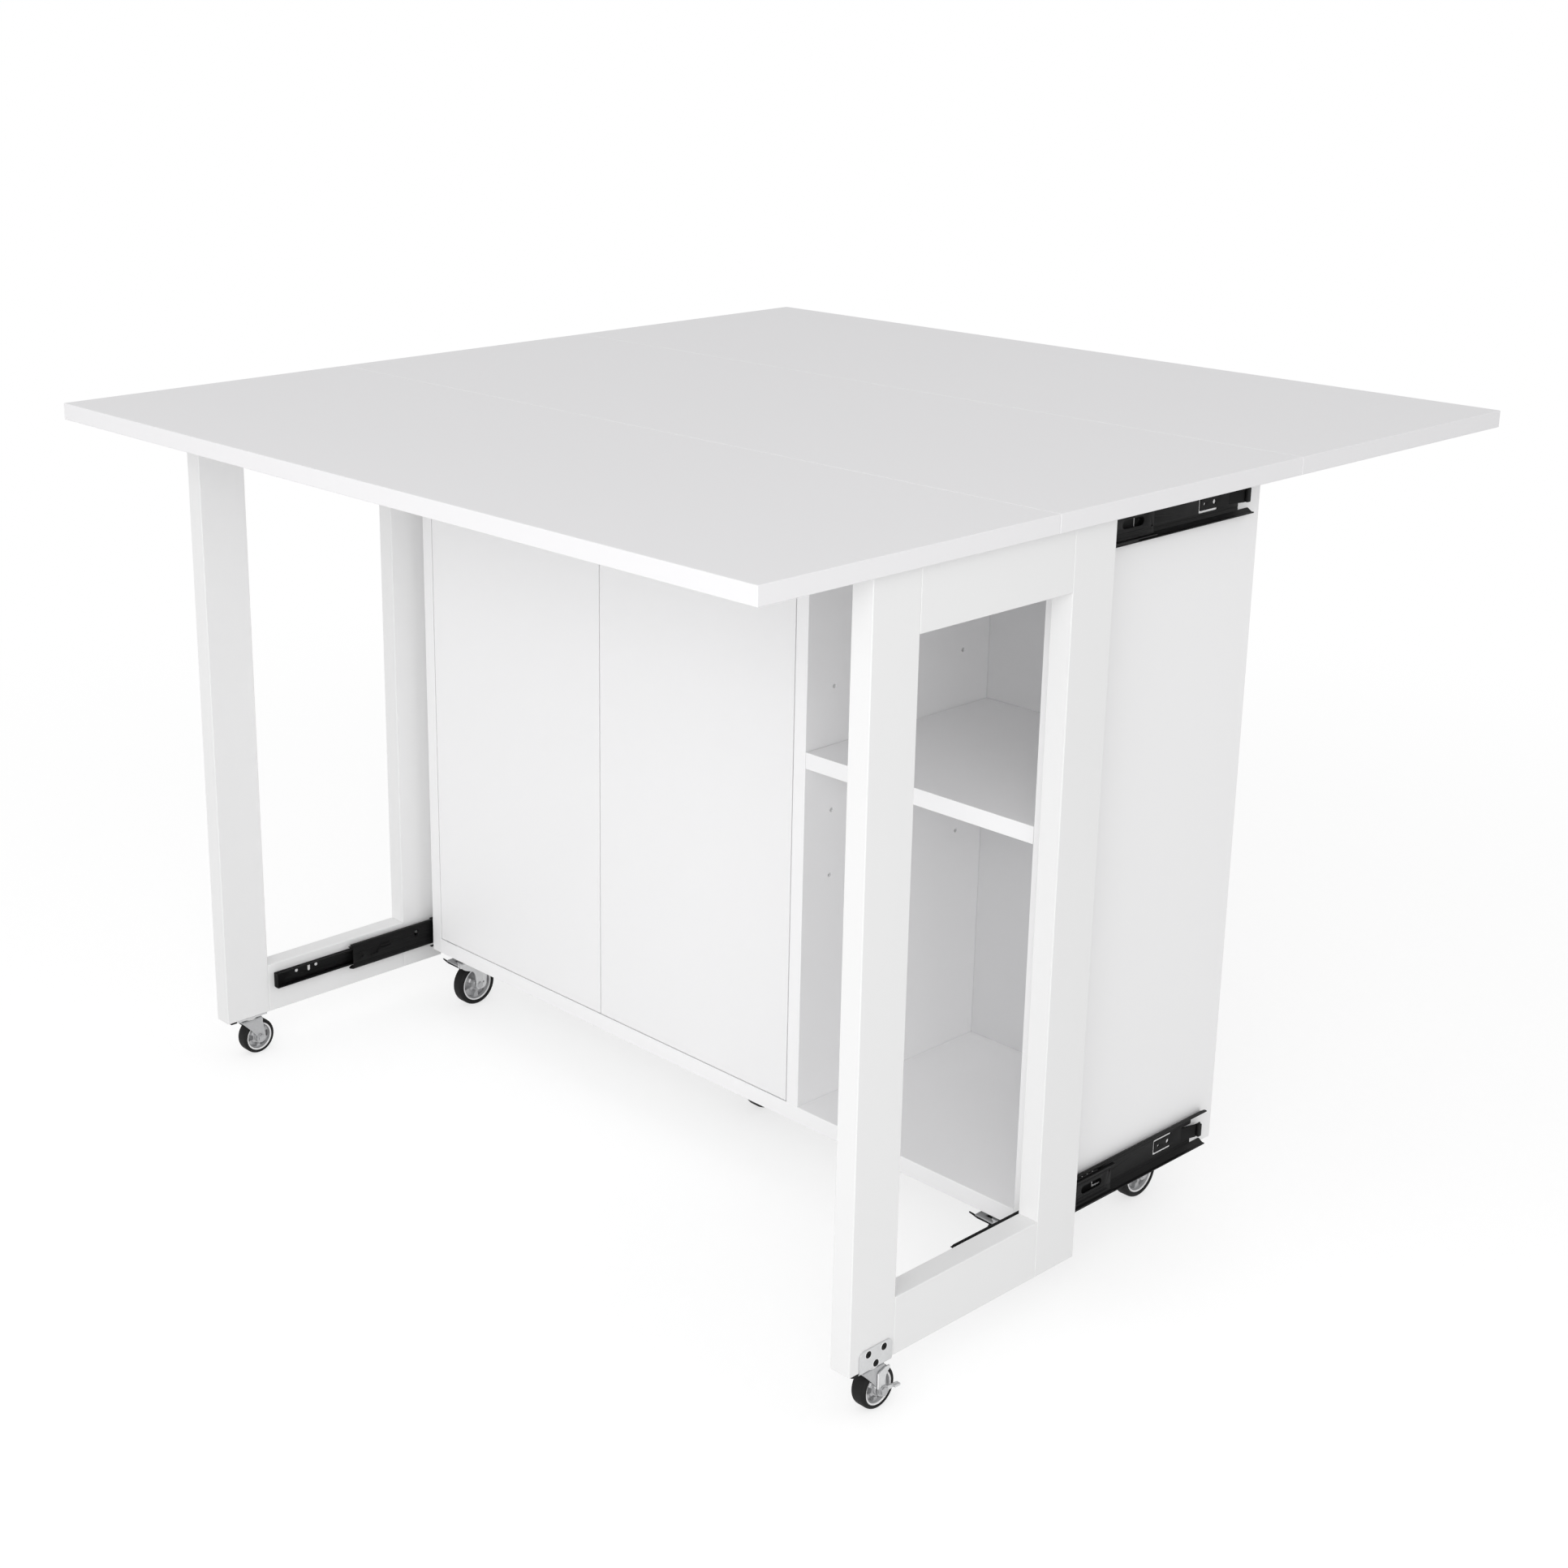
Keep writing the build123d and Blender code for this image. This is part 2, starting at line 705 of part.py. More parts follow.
# Caster pieces shared by the gate casters and the cabinet casters
def fork(axis_x, axis_y, trail, radius, width, plate_bottom, plate_sheet_above, outer_stack):
    """Swivel fork with its raceway, kingpin and legs, and the axle bolt as a second solid.

    outer_stack is the room that the axle leaves beyond the +X leg for a brake lever.
    """
    race_top = plate_bottom - race_air
    crown_top = race_top - race_thickness
    crown_bottom = crown_top - fork_sheet
    wheel_y = axis_y + trail
    leg_inner = width / 2 + fork_side_gap
    leg_outer = leg_inner + fork_sheet
    with BuildPart() as piece:
        with BuildSketch(Plane.XY.offset(crown_bottom)):
            with Locations((axis_x, axis_y)):
                RectangleRounded(2 * leg_outer, fork_top_width, fork_sheet)
        extrude(amount=fork_sheet)
        with BuildSketch(Plane.XY.offset(crown_top)):
            with Locations((axis_x, axis_y)):
                Circle(race_r)
        extrude(amount=race_thickness)
        with BuildSketch(Plane.XY.offset(race_top)):
            with Locations((axis_x, axis_y)):
                Circle(kingpin_r)
        extrude(amount=race_air + plate_sheet_above - kingpin_recess)
        for leg_x in (axis_x - leg_outer, axis_x + leg_inner):
            with BuildSketch(Plane.YZ.offset(leg_x)):
                with Locations((axis_y, crown_bottom + fork_sheet / 2)):
                    Rectangle(fork_top_width - 2 * fork_sheet, fork_sheet)
                with Locations((wheel_y, radius)):
                    Circle(fork_boss_r)
                make_hull()
                with Locations((wheel_y, radius)):
                    Circle(axle_r + running_gap, mode=Mode.SUBTRACT)
            extrude(amount=fork_sheet)
    with BuildPart() as axle:
        shaft_from = axis_x - leg_outer - axle_head
        shaft_to = axis_x + leg_outer + outer_stack + axle_head
        with BuildSketch(Plane.YZ.offset(shaft_from)):
            with Locations((wheel_y, radius)):
                Circle(axle_r)
        extrude(amount=shaft_to - shaft_from)
        for head_x in (shaft_from, shaft_to - axle_head):
            with BuildSketch(Plane.YZ.offset(head_x)):
                with Locations((wheel_y, radius)):
                    RegularPolygon(axle_head_r, 6)
            extrude(amount=axle_head)
    return piece.part, axle.part


def tyre(x, y, radius, width, depth, shoulder):
    """A tyre with rounded shoulders, turned about its axle."""
    with BuildPart() as piece:
        with BuildSketch(Plane(origin=(x, y, radius), x_dir=(1, 0, 0), z_dir=(0, 0, 1))) as section:
            with Locations((0, radius - depth / 2)):
                Rectangle(width, depth)
            fillet(section.vertices().group_by(Axis.Y)[-1], radius=shoulder)
        revolve(axis=Axis((x, y, radius), (1, 0, 0)))
    return piece.part


def hub(x, y, radius, width, depth):
    """A hub with a rim ring, a pierced web and a boss bored for the axle."""
    rim_r = radius - depth - tyre_fit
    rim_inner = rim_r - hub_rim
    boss_half = width / 2 + fork_side_gap - hub_boss_gap
    pocket_r = (rim_inner - hub_boss_r) / 2 - hub_recess / 2
    pocket_place = (rim_inner + hub_boss_r) / 2
    with BuildPart() as piece:
        with BuildSketch(Plane(origin=(x, y, radius), x_dir=(1, 0, 0), z_dir=(0, 0, 1))):
            with Locations((0, (rim_r + rim_inner) / 2)):
                Rectangle(width - 2 * hub_recess, hub_rim)
            with Locations((0, rim_r / 2)):
                Rectangle(hub_web, rim_r)
            with Locations((0, hub_boss_r / 2)):
                Rectangle(2 * boss_half, hub_boss_r)
        revolve(axis=Axis((x, y, radius), (1, 0, 0)))
        with BuildSketch(Plane(origin=(x - hub_web / 2, y, radius), x_dir=(0, 1, 0), z_dir=(1, 0, 0))):
            with PolarLocations(pocket_place, spoke_count):
                Circle(pocket_r)
        extrude(amount=hub_web, mode=Mode.SUBTRACT)
        with BuildSketch(Plane(origin=(x - boss_half, y, radius), x_dir=(0, 1, 0), z_dir=(1, 0, 0))):
            Circle(axle_r + running_gap)
        extrude(amount=2 * boss_half, mode=Mode.SUBTRACT)
    return piece.part


# Gate casters, drawn for the right gate and mirrored to the left
gate_caster_x = (gate_outer_half + gate_inner_half) / 2
gate_caster_y = gate_front + gate_caster_inset
bracket_y = gate_front + bracket_to_post + bracket_width / 2
gate_wheel_y = gate_caster_y + gate_wheel_trail
bracket_bottom = gate_bottom - bracket_sheet

with BuildPart() as right_gate_bracket:
    with BuildSketch(Plane.XY.offset(bracket_bottom)):
        with Locations(((gate_inner_half + gate_outer_half + bracket_sheet) / 2, bracket_y)):
            Rectangle(gate_board + bracket_sheet, bracket_width)
        with Locations((gate_caster_x, gate_caster_y)):
            Circle(kingpin_r + running_gap, mode=Mode.SUBTRACT)
    extrude(amount=bracket_sheet)
    with BuildSketch(Plane.YZ.offset(gate_outer_half)) as upright:
        upright_height = bracket_sheet + bracket_rise
        with Locations((bracket_y, bracket_bottom + upright_height / 2)):
            Rectangle(bracket_width, upright_height)
        fillet(upright.vertices().group_by(Axis.Y)[-1], radius=bracket_corner_round)
        for along, rise in (
            (-bracket_hole_pitch / 2, bracket_upper_rise),
            (bracket_hole_pitch / 2, bracket_upper_rise),
            (0, bracket_lower_rise),
        ):
            with Locations((bracket_y + along, bracket_bottom + rise)):
                Circle(bracket_hole_r, mode=Mode.SUBTRACT)
    extrude(amount=bracket_sheet)
save(right_gate_bracket.part, "right_gate_bracket")
save(mirror(right_gate_bracket.part, about=Plane.YZ), "left_gate_bracket")

gate_fork, gate_axle = fork(gate_caster_x, gate_caster_y, gate_wheel_trail, gate_wheel_r, gate_wheel_width,
                            bracket_bottom, bracket_sheet, lever_sheet + 2 * lever_gap)
save(Part(children=[gate_fork, gate_axle]), "right_gate_fork")
left_pair = [mirror(gate_fork, about=Plane.YZ), mirror(gate_axle, about=Plane.YZ)]
save(Part(children=left_pair), "left_gate_fork")

right_gate_tyre = tyre(gate_caster_x, gate_wheel_y, gate_wheel_r, gate_wheel_width,
                       gate_tyre_depth, gate_shoulder)
save(right_gate_tyre, "right_gate_tyre")
save(mirror(right_gate_tyre, about=Plane.YZ), "left_gate_tyre")
right_gate_hub = hub(gate_caster_x, gate_wheel_y, gate_wheel_r, gate_wheel_width, gate_tyre_depth)
save(right_gate_hub, "right_gate_hub")
save(mirror(right_gate_hub, about=Plane.YZ), "left_gate_hub")

# The brake lever turns on the axle end: one arm rises beside the fork, the other ends in a tab
lever_x = gate_caster_x + gate_wheel_width / 2 + fork_side_gap + fork_sheet + lever_gap
with BuildPart() as right_gate_brake:
    with BuildSketch(Plane(origin=(lever_x, gate_wheel_y, gate_wheel_r), x_dir=(0, 1, 0), z_dir=(1, 0, 0))):
        Circle(lever_boss_r)
        with Locations((0, lever_up_reach / 2)):
            Rectangle(lever_arm_width, lever_up_reach)
        with Locations((lever_tab_reach / 2, 0)):
            Rectangle(lever_tab_reach, lever_arm_width)
        Circle(axle_r + running_gap, mode=Mode.SUBTRACT)
    extrude(amount=lever_sheet)
    with BuildSketch(Plane.XY.offset(gate_wheel_r - lever_tab_sheet / 2)):
        with Locations((lever_x + lever_tab_out / 2, gate_wheel_y + lever_tab_reach - lever_tab_width / 2)):
            RectangleRounded(lever_tab_out, lever_tab_width, lever_tab_sheet)
    extrude(amount=lever_tab_sheet)
save(right_gate_brake.part, "right_gate_brake")
save(mirror(right_gate_brake.part, about=Plane.YZ), "left_gate_brake")


# Cabinet casters: four at the corners and one under the middle
caster_front_y = cabinet_front + caster_front_inset
caster_rear_y = cabinet_rear - caster_rear_inset
caster_reach = cabinet_half - caster_end_inset
caster_xs = (caster_row_shift - caster_reach, caster_row_shift + caster_reach)
caster_places = {
    "front_left": (caster_xs[0], caster_front_y),
    "front_right": (caster_xs[1], caster_front_y),
    "rear_left": (caster_xs[0], caster_rear_y),
    "rear_right": (caster_xs[1], caster_rear_y),
    "middle": (middle_caster_x, (caster_front_y + caster_rear_y) / 2 - middle_caster_forward),
}
braked = ("front_left", "front_right")
plate_bottom = cabinet_bottom - plate_sheet
crown_bottom = plate_bottom - race_air - race_thickness - fork_sheet
pedal_z = crown_bottom - pedal_barrel_r - knuckle_gap

with BuildPart() as caster_plates:
    for x, y in caster_places.values():
        with BuildSketch(Plane.XY.offset(plate_bottom)):
            with Locations((x, y)):
                RectangleRounded(plate_side, plate_side, plate_corner_round)
                Circle(kingpin_r + running_gap, mode=Mode.SUBTRACT)
                with GridLocations(plate_hole_pitch, plate_hole_pitch, 2, 2):
                    Circle(plate_hole_r, mode=Mode.SUBTRACT)
        extrude(amount=plate_sheet)
save(caster_plates.part, "caster_plates")


def brake_ears(x, y):
    """A tongue in front of the crown with two ears and the pin for the pedal."""
    pivot_x = x + pedal_pivot_offset
    rear_y = y - pedal_front + pedal_width + pedal_ear
    front_y = y - pedal_front - pedal_ear
    tongue_half = 2 * pedal_barrel_r
    with BuildPart() as ears:
        with BuildSketch(Plane.XY.offset(crown_bottom)):
            with Locations((pivot_x, (front_y + y) / 2)):
                Rectangle(2 * tongue_half, y - front_y)
        extrude(amount=fork_sheet)
        for ear_y in (front_y + pedal_ear, rear_y):
            with BuildSketch(Plane(origin=(pivot_x, ear_y, pedal_z), x_dir=(1, 0, 0), z_dir=(0, -1, 0))):
                Circle(pedal_barrel_r)
                with Locations((0, (crown_bottom - pedal_z) / 2)):
                    Rectangle(2 * pedal_barrel_r, crown_bottom - pedal_z)
            extrude(amount=pedal_ear)
        with BuildSketch(Plane(origin=(pivot_x, rear_y, pedal_z), x_dir=(1, 0, 0), z_dir=(0, -1, 0))):
            Circle(pedal_pin_r)
        extrude(amount=rear_y - front_y)
    return ears.part


def pedal(x, y):
    """A slotted pedal plate with the barrel that turns on the pin."""
    pivot_x = x + pedal_pivot_offset
    rear_y = y - pedal_front + pedal_width - running_gap
    length = pedal_width - 2 * running_gap
    with BuildPart() as piece:
        with BuildSketch(Plane.XY.offset(pedal_z - pedal_barrel_r)):
            with Locations((pivot_x - pedal_reach / 2, rear_y - length / 2)):
                RectangleRounded(pedal_reach, length, pedal_sheet)
            with Locations((pivot_x - pedal_slot_place, rear_y - length / 2)):
                SlotOverall(pedal_slot_length, pedal_slot_width, mode=Mode.SUBTRACT)
        extrude(amount=pedal_sheet)
        with BuildSketch(Plane(origin=(pivot_x, rear_y, pedal_z), x_dir=(1, 0, 0), z_dir=(0, -1, 0))):
            Circle(pedal_barrel_r)
        extrude(amount=length)
        with BuildSketch(Plane(origin=(pivot_x, rear_y, pedal_z), x_dir=(1, 0, 0), z_dir=(0, -1, 0))):
            Circle(pedal_pin_r + running_gap)
        extrude(amount=length, mode=Mode.SUBTRACT)
    return piece.part


for name, (x, y) in caster_places.items():
    caster_fork, caster_axle = fork(x, y, wheel_trail, wheel_r, wheel_width, plate_bottom, plate_sheet, 0.0)
    caster_tyre = tyre(x, y + wheel_trail, wheel_r, wheel_width, tyre_depth, wheel_shoulder)
    caster_hub = hub(x, y + wheel_trail, wheel_r, wheel_width, tyre_depth)
    if name in braked:
        save(Part(children=[caster_fork + brake_ears(x, y), caster_axle]), f"{name}_fork")
        save(pedal(x, y), f"{name}_pedal")
        save(caster_tyre, f"{name}_tyre")
        save(caster_hub, f"{name}_hub")
    else:
        save(Part(children=[caster_fork, caster_axle]), f"{name}_fork")
        save(Part(children=[caster_tyre, caster_hub]), f"{name}_wheel")
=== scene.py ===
"""Looks of a white rolling kitchen island with two pull-out gates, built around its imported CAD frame.

Lengths are drawn in millimetres and written to the meshes in metres, in the frame's own axes:
+X right, +Y back, +Z up, with the origin on the floor below the middle of the worktop.
"""

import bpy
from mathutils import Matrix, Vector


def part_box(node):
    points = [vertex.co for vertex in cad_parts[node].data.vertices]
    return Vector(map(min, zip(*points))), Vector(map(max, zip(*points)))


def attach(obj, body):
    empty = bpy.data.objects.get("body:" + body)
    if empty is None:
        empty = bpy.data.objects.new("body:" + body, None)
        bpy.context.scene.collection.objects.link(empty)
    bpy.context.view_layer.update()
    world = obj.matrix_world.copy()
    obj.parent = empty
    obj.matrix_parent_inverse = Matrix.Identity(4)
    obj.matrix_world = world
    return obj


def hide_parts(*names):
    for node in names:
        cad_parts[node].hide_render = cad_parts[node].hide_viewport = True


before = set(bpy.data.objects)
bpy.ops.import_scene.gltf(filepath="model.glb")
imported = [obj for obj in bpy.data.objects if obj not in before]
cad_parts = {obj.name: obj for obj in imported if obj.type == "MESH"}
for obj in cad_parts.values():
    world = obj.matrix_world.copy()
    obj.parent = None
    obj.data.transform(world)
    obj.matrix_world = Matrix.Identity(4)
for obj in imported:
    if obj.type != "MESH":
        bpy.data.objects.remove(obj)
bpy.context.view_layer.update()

import logging
import math
from collections.abc import Callable
from dataclasses import dataclass, field
from enum import Enum
from itertools import pairwise, product

import bpy
from mathutils import Matrix, Vector

Piece = bpy.types.Object
MM = 0.001
FULL_TURN = 2 * math.pi
ACROSS, ALONG, UPRIGHT = (1, 0, 0), (0, 1, 0), (0, 0, 1)
SMOOTH_ANGLE, SHARP_ANGLE = 32.0, 35.0

# In millimetres: gaps at which vertices merge, a cutter's reach past a face, and an axle hole's radius
MERGE_GAP, SPIN_GAP = 0.001, 0.002
PAST = 1.0
AXLE_HOLE = 3.06

LOG = logging.getLogger("kitchen_island")


# Hand tools of the modeller

def mm(x: float, y: float, z: float) -> Vector:
    """A point or step given in millimetres, in metres."""
    return Vector((x, y, z)) * MM


def deselect_all() -> None:
    """Leaves edit mode and deselects every object."""
    if bpy.context.object and bpy.context.object.mode != "OBJECT":
        bpy.ops.object.mode_set(mode="OBJECT")
    bpy.ops.object.select_all(action="DESELECT")


def take(piece: Piece) -> None:
    """Makes one object the only selected and the active one.

    Args:
        piece: the object.
    """
    deselect_all()
    piece.select_set(True)
    bpy.context.view_layer.objects.active = piece


def open_whole(piece: Piece) -> None:
    """Enters edit mode with the whole of a piece selected.

    Args:
        piece: the object.
    """
    take(piece)
    bpy.ops.object.mode_set(mode="EDIT")
    bpy.ops.mesh.select_all(action="SELECT")


def close_outward(piece: Piece) -> Piece:
    """Turns all normals outward, leaves edit mode and returns the piece.

    Args:
        piece: the object in edit mode.

    Returns:
        The piece.
    """
    bpy.ops.mesh.select_all(action="SELECT")
    bpy.ops.mesh.normals_make_consistent(inside=False)
    bpy.ops.object.mode_set(mode="OBJECT")
    return piece


def settle(name: str) -> Piece:
    """Names the new primitive, writes its place into its mesh and returns it.

    Args:
        name: the object's name.

    Returns:
        The object, at the origin.
    """
    piece = bpy.context.object
    piece.name = name
    piece.data.name = name
    bpy.ops.object.transform_apply(location=True, rotation=True, scale=True)
    return piece


def box(name: str, low: tuple, high: tuple) -> Piece:
    """A block between two corners in millimetres, ready to be shaped.

    Args:
        name: the object's name.
        low: its lowest corner.
        high: its highest corner.

    Returns:
        The block.
    """
    deselect_all()
    a, b = mm(*low), mm(*high)
    bpy.ops.mesh.primitive_cube_add(size=1, location=(a + b) / 2, scale=b - a)
    return settle(name)


def rod(name: str, start: tuple, axis: tuple, radius: float, length: float, sides: int = 48) -> Piece:
    """A round bar in millimetres, ready to be shaped.

    Args:
        name: the object's name.
        start: the centre of its first end.
        axis: the direction that it runs in.
        radius: its radius.
        length: its length.
        sides: its number of sides.

    Returns:
        The bar.
    """
    deselect_all()
    direction = Vector(axis).normalized()
    turn = direction.to_track_quat("Z", "Y").to_euler()
    middle = mm(*start) + direction * length * MM / 2
    bpy.ops.mesh.primitive_cylinder_add(
        vertices=sides, radius=radius * MM, depth=length * MM, location=middle, rotation=turn
    )
    return settle(name)


def outline(name: str, points: list, filled: bool = True) -> Piece:
    """Draws a closed outline vertex by vertex, from a plane drawn together to one vertex.

    Args:
        name: the object's name.
        points: its corners in millimetres, in order.
        filled: whether the outline becomes a face or stays a loop of edges.

    Returns:
        The outline, in object mode.
    """
    deselect_all()
    corners = [mm(*p) for p in points]
    bpy.ops.mesh.primitive_plane_add(size=MM, location=corners[0])
    piece = settle(name)
    open_whole(piece)
    bpy.ops.mesh.merge(type="CENTER")
    for here, there in pairwise(corners):
        bpy.ops.mesh.extrude_vertices_move(TRANSFORM_OT_translate={"value": there - here})
    bpy.ops.mesh.select_all(action="SELECT")
    bpy.ops.mesh.edge_face_add()
    if not filled:
        bpy.ops.mesh.delete(type="ONLY_FACE")
    bpy.ops.object.mode_set(mode="OBJECT")
    return piece


def plate(name: str, axis: tuple, start: float, points: list, depth: float) -> Piece:
    """A flat plate from the outline of one face, in millimetres.

    Args:
        name: the object's name.
        axis: the direction of its thickness: ACROSS, ALONG or UPRIGHT.
        start: the place of its first face on that axis.
        points: the face's corners, as pairs of the two other coordinates.
        depth: its thickness, less than 0 to go the other way.

    Returns:
        The closed solid.
    """
    place = axis.index(1)
    piece = outline(name, [(*p[:place], start, *p[place:]) for p in points])
    open_whole(piece)
    bpy.ops.mesh.extrude_region_move(TRANSFORM_OT_translate={"value": mm(*(depth * a for a in axis))})
    return close_outward(piece)


def turned(name: str, centre: tuple, profile: list, axis: tuple = ACROSS, steps: int = 40) -> Piece:
    """Spins a closed half section about an axis, as on a lathe.

    Args:
        name: the object's name.
        centre: a point on the axis in millimetres.
        profile: the section's corners, as (along the axis, out from it) pairs.
        axis: the direction of the axis, ACROSS or UPRIGHT.
        steps: the number of steps in a full turn.

    Returns:
        The turned body.
    """
    x, y, z = centre
    if axis == UPRIGHT:
        section = [(x + out, y, z + along) for along, out in profile]
    else:
        section = [(x + along, y, z + out) for along, out in profile]
    piece = outline(name, section, filled=False)
    open_whole(piece)
    bpy.ops.mesh.spin(steps=steps, angle=FULL_TURN, center=mm(x, y, z), axis=axis)
    bpy.ops.mesh.select_all(action="SELECT")
    bpy.ops.mesh.remove_doubles(threshold=SPIN_GAP * MM)
    bpy.ops.mesh.delete_loose()
    return close_outward(piece)


def joined(name: str, parts: list) -> Piece:
    """Several meshes as one object.

    Args:
        name: the new object's name.
        parts: the objects to join.

    Returns:
        The joined object.
    """
    take(parts[0])
    for part in parts[1:]:
        part.select_set(True)
    bpy.ops.object.join()
    parts[0].name = name
    parts[0].data.name = name
    return parts[0]


class Carve(Enum):
    """The ways in which one solid works on another."""

    CUT = "DIFFERENCE"
    WELD = "UNION"
    KEEP = "INTERSECT"


def carve(piece: Piece, tool: Piece, way: Carve = Carve.CUT) -> Piece:
    """Cuts one solid out of another, welds it on or keeps what they share, and removes the tool.

    Args:
        piece: the solid that is kept.
        tool: the solid that works on it.
        way: whether it cuts, welds or keeps.

    Returns:
        The kept solid.
    """
    take(piece)
    step = piece.modifiers.new("carve", "BOOLEAN")
    step.operation = way.value
    step.solver = "EXACT"
    step.object = tool
    bpy.ops.object.modifier_apply(modifier=step.name)
    bpy.data.objects.remove(tool)
    return piece


def drill(piece: Piece, start: tuple, axis: tuple, radius: float, depth: float, sides: int = 32) -> Piece:
    """Cuts a round hole or groove into a piece, from a start in millimetres."""
    return carve(piece, rod("drill", start, axis, radius, depth, sides))


def ease(piece: Piece, width: float) -> Piece:
    """Rounds the sharp edges of a solid with an applied bevel.

    Args:
        piece: the solid.
        width: the width of the bevel in millimetres.

    Returns:
        The solid.
    """
    take(piece)
    step = piece.modifiers.new("ease", "BEVEL")
    step.width = width * MM
    step.segments = 2
    step.limit_method = "ANGLE"
    step.angle_limit = math.radians(SHARP_ANGLE)
    step.miter_outer = "MITER_ARC"
    bpy.ops.object.modifier_apply(modifier=step.name)
    return piece


def smooth(piece: Piece, angle: float = SMOOTH_ANGLE) -> Piece:
    """Shades a piece smooth below an angle in degrees.

    Args:
        piece: the piece.
        angle: the angle.

    Returns:
        The piece.
    """
    take(piece)
    bpy.ops.object.shade_smooth_by_angle(angle=math.radians(angle))
    return piece


def tidy(piece: Piece) -> Piece:
    """Merges coincident vertices and turns all normals outward.

    Args:
        piece: the piece.

    Returns:
        The piece.
    """
    open_whole(piece)
    bpy.ops.mesh.remove_doubles(threshold=MERGE_GAP * MM)
    return close_outward(piece)


class Mirror(Enum):
    """The ways in which a copy is mirrored, as signs of X, Y and Z."""

    NONE = (1, 1, 1)
    SIDEWAYS = (-1, 1, 1)
    UPSIDE_DOWN = (1, 1, -1)


def copied(piece: Piece, name: str, move: tuple = (0, 0, 0), mirror: Mirror = Mirror.NONE) -> Piece:
    """A copy with its own mesh, moved in millimetres and then mirrored through the origin.

    Args:
        piece: the finished original.
        name: the copy's name.
        move: how far the copy is moved, before it is mirrored.
        mirror: how it is mirrored.

    Returns:
        The copy, at the origin.
    """
    twin = piece.copy()
    twin.data = piece.data.copy()
    twin.name = name
    twin.data.name = name
    bpy.context.scene.collection.objects.link(twin)
    take(twin)
    twin.location = mm(*move)
    bpy.ops.object.transform_apply(location=True, rotation=True, scale=True)
    if mirror is not Mirror.NONE:
        twin.scale = mirror.value
        bpy.ops.object.transform_apply(location=True, rotation=True, scale=True)
        tidy(twin)
    return twin


def seat(piece: Piece, body: str, replaced: tuple = ()) -> Piece:
    """Lets a finished piece ride on a body and hides the CAD nodes that it stands for.

    Args:
        piece: the finished piece.
        body: the CAD body that it moves with.
        replaced: the CAD nodes that it stands for.

    Returns:
        The piece.
    """
    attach(piece, body)
    if replaced:
        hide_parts(*replaced)
    LOG.info("%s rides on %s", piece.name, body)
    return piece


def arc(centre: tuple, radius: float, start: float, end: float, steps: int) -> list:
    """Points of an arc in a plane, from one angle in degrees to another.

    Args:
        centre: the arc's centre, as two numbers.
        radius: its radius.
        start: its first angle.
        end: its last angle.
        steps: the number of steps between them.

    Returns:
        The points, as pairs.
    """
    angles = [math.radians(start + (end - start) * i / steps) for i in range(steps + 1)]
    return [(centre[0] + radius * math.cos(a), centre[1] + radius * math.sin(a)) for a in angles]


def sweep(start: tuple, pull: tuple, end: tuple, steps: int = 8) -> list:
    """Points of a soft curve between two points, drawn toward a third.

    Args:
        start: the first point, as two numbers.
        pull: the point that the curve is drawn toward.
        end: the last point.
        steps: the number of steps between them.

    Returns:
        The points, as pairs.
    """
    a, b, c = Vector(start), Vector(pull), Vector(end)
    shares = [i / steps for i in range(steps + 1)]
    return [tuple((1 - t) ** 2 * a + 2 * t * (1 - t) * b + t * t * c) for t in shares]


def folded(corners: list, radius: float, steps: int = 4) -> list:
    """An open path through corners, with a bend radius at each inner corner.

    Args:
        corners: the corners, as pairs.
        radius: the bend radius.
        steps: the number of steps in each bend.

    Returns:
        The path's points, as pairs.
    """
    longest_share = 0.45
    path = [tuple(corners[0])]
    for before, here, after in zip(corners, corners[1:], corners[2:]):
        corner = Vector(here)
        back, ahead = Vector(before) - corner, Vector(after) - corner
        reach = radius / math.tan(back.angle(ahead) / 2)
        reach = min(reach, longest_share * back.length, longest_share * ahead.length)
        path += sweep(corner + back.normalized() * reach, corner, corner + ahead.normalized() * reach, steps)
    return [*path, tuple(corners[-1])]


def ribbon(path: list, thickness: float) -> list:
    """The closed outline of a sheet whose middle runs along an open path.

    Args:
        path: the points of the middle line, as pairs.
        thickness: the thickness of the sheet.

    Returns:
        The outline's points, as pairs.
    """
    points = [Vector(p) for p in path]
    across = [Vector((b.y - a.y, a.x - b.x)).normalized() for a, b in pairwise(points)]
    one_side, other_side = [], []
    for i, point in enumerate(points):
        before, after = across[max(i - 1, 0)], across[min(i, len(across) - 1)]
        normal = (before + after).normalized()
        step = normal * thickness / 2 / normal.dot(after)
        one_side.append(tuple(point + step))
        other_side.append(tuple(point - step))
    return one_side + other_side[::-1]


def rounded(piece: Piece, test: Callable[[Vector], bool], radius: float, steps: int) -> Piece:
    """Rounds the edges whose two ends both pass a test, to a radius in millimetres.

    Args:
        piece: the solid.
        test: takes a vertex's place in millimetres and tells whether it counts.
        radius: the radius of the round.
        steps: the number of segments across it.

    Returns:
        The solid.
    """
    take(piece)
    bpy.ops.object.mode_set(mode="EDIT")
    bpy.ops.mesh.select_mode(type="EDGE")
    bpy.ops.mesh.select_all(action="DESELECT")
    bpy.ops.object.mode_set(mode="OBJECT")
    passed = [test(v.co / MM) for v in piece.data.vertices]
    for edge in piece.data.edges:
        edge.select = all(passed[i] for i in edge.vertices)
    bpy.ops.object.mode_set(mode="EDIT")
    bpy.ops.mesh.bevel(offset=radius * MM, segments=steps, affect="EDGES")
    bpy.ops.mesh.select_mode(type="VERT")
    bpy.ops.object.mode_set(mode="OBJECT")
    return piece


def span(node: str) -> tuple[Vector, Vector]:
    """Lowest and highest corner of a CAD node in millimetres."""
    low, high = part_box(node)
    return low / MM, high / MM


# Shader trees

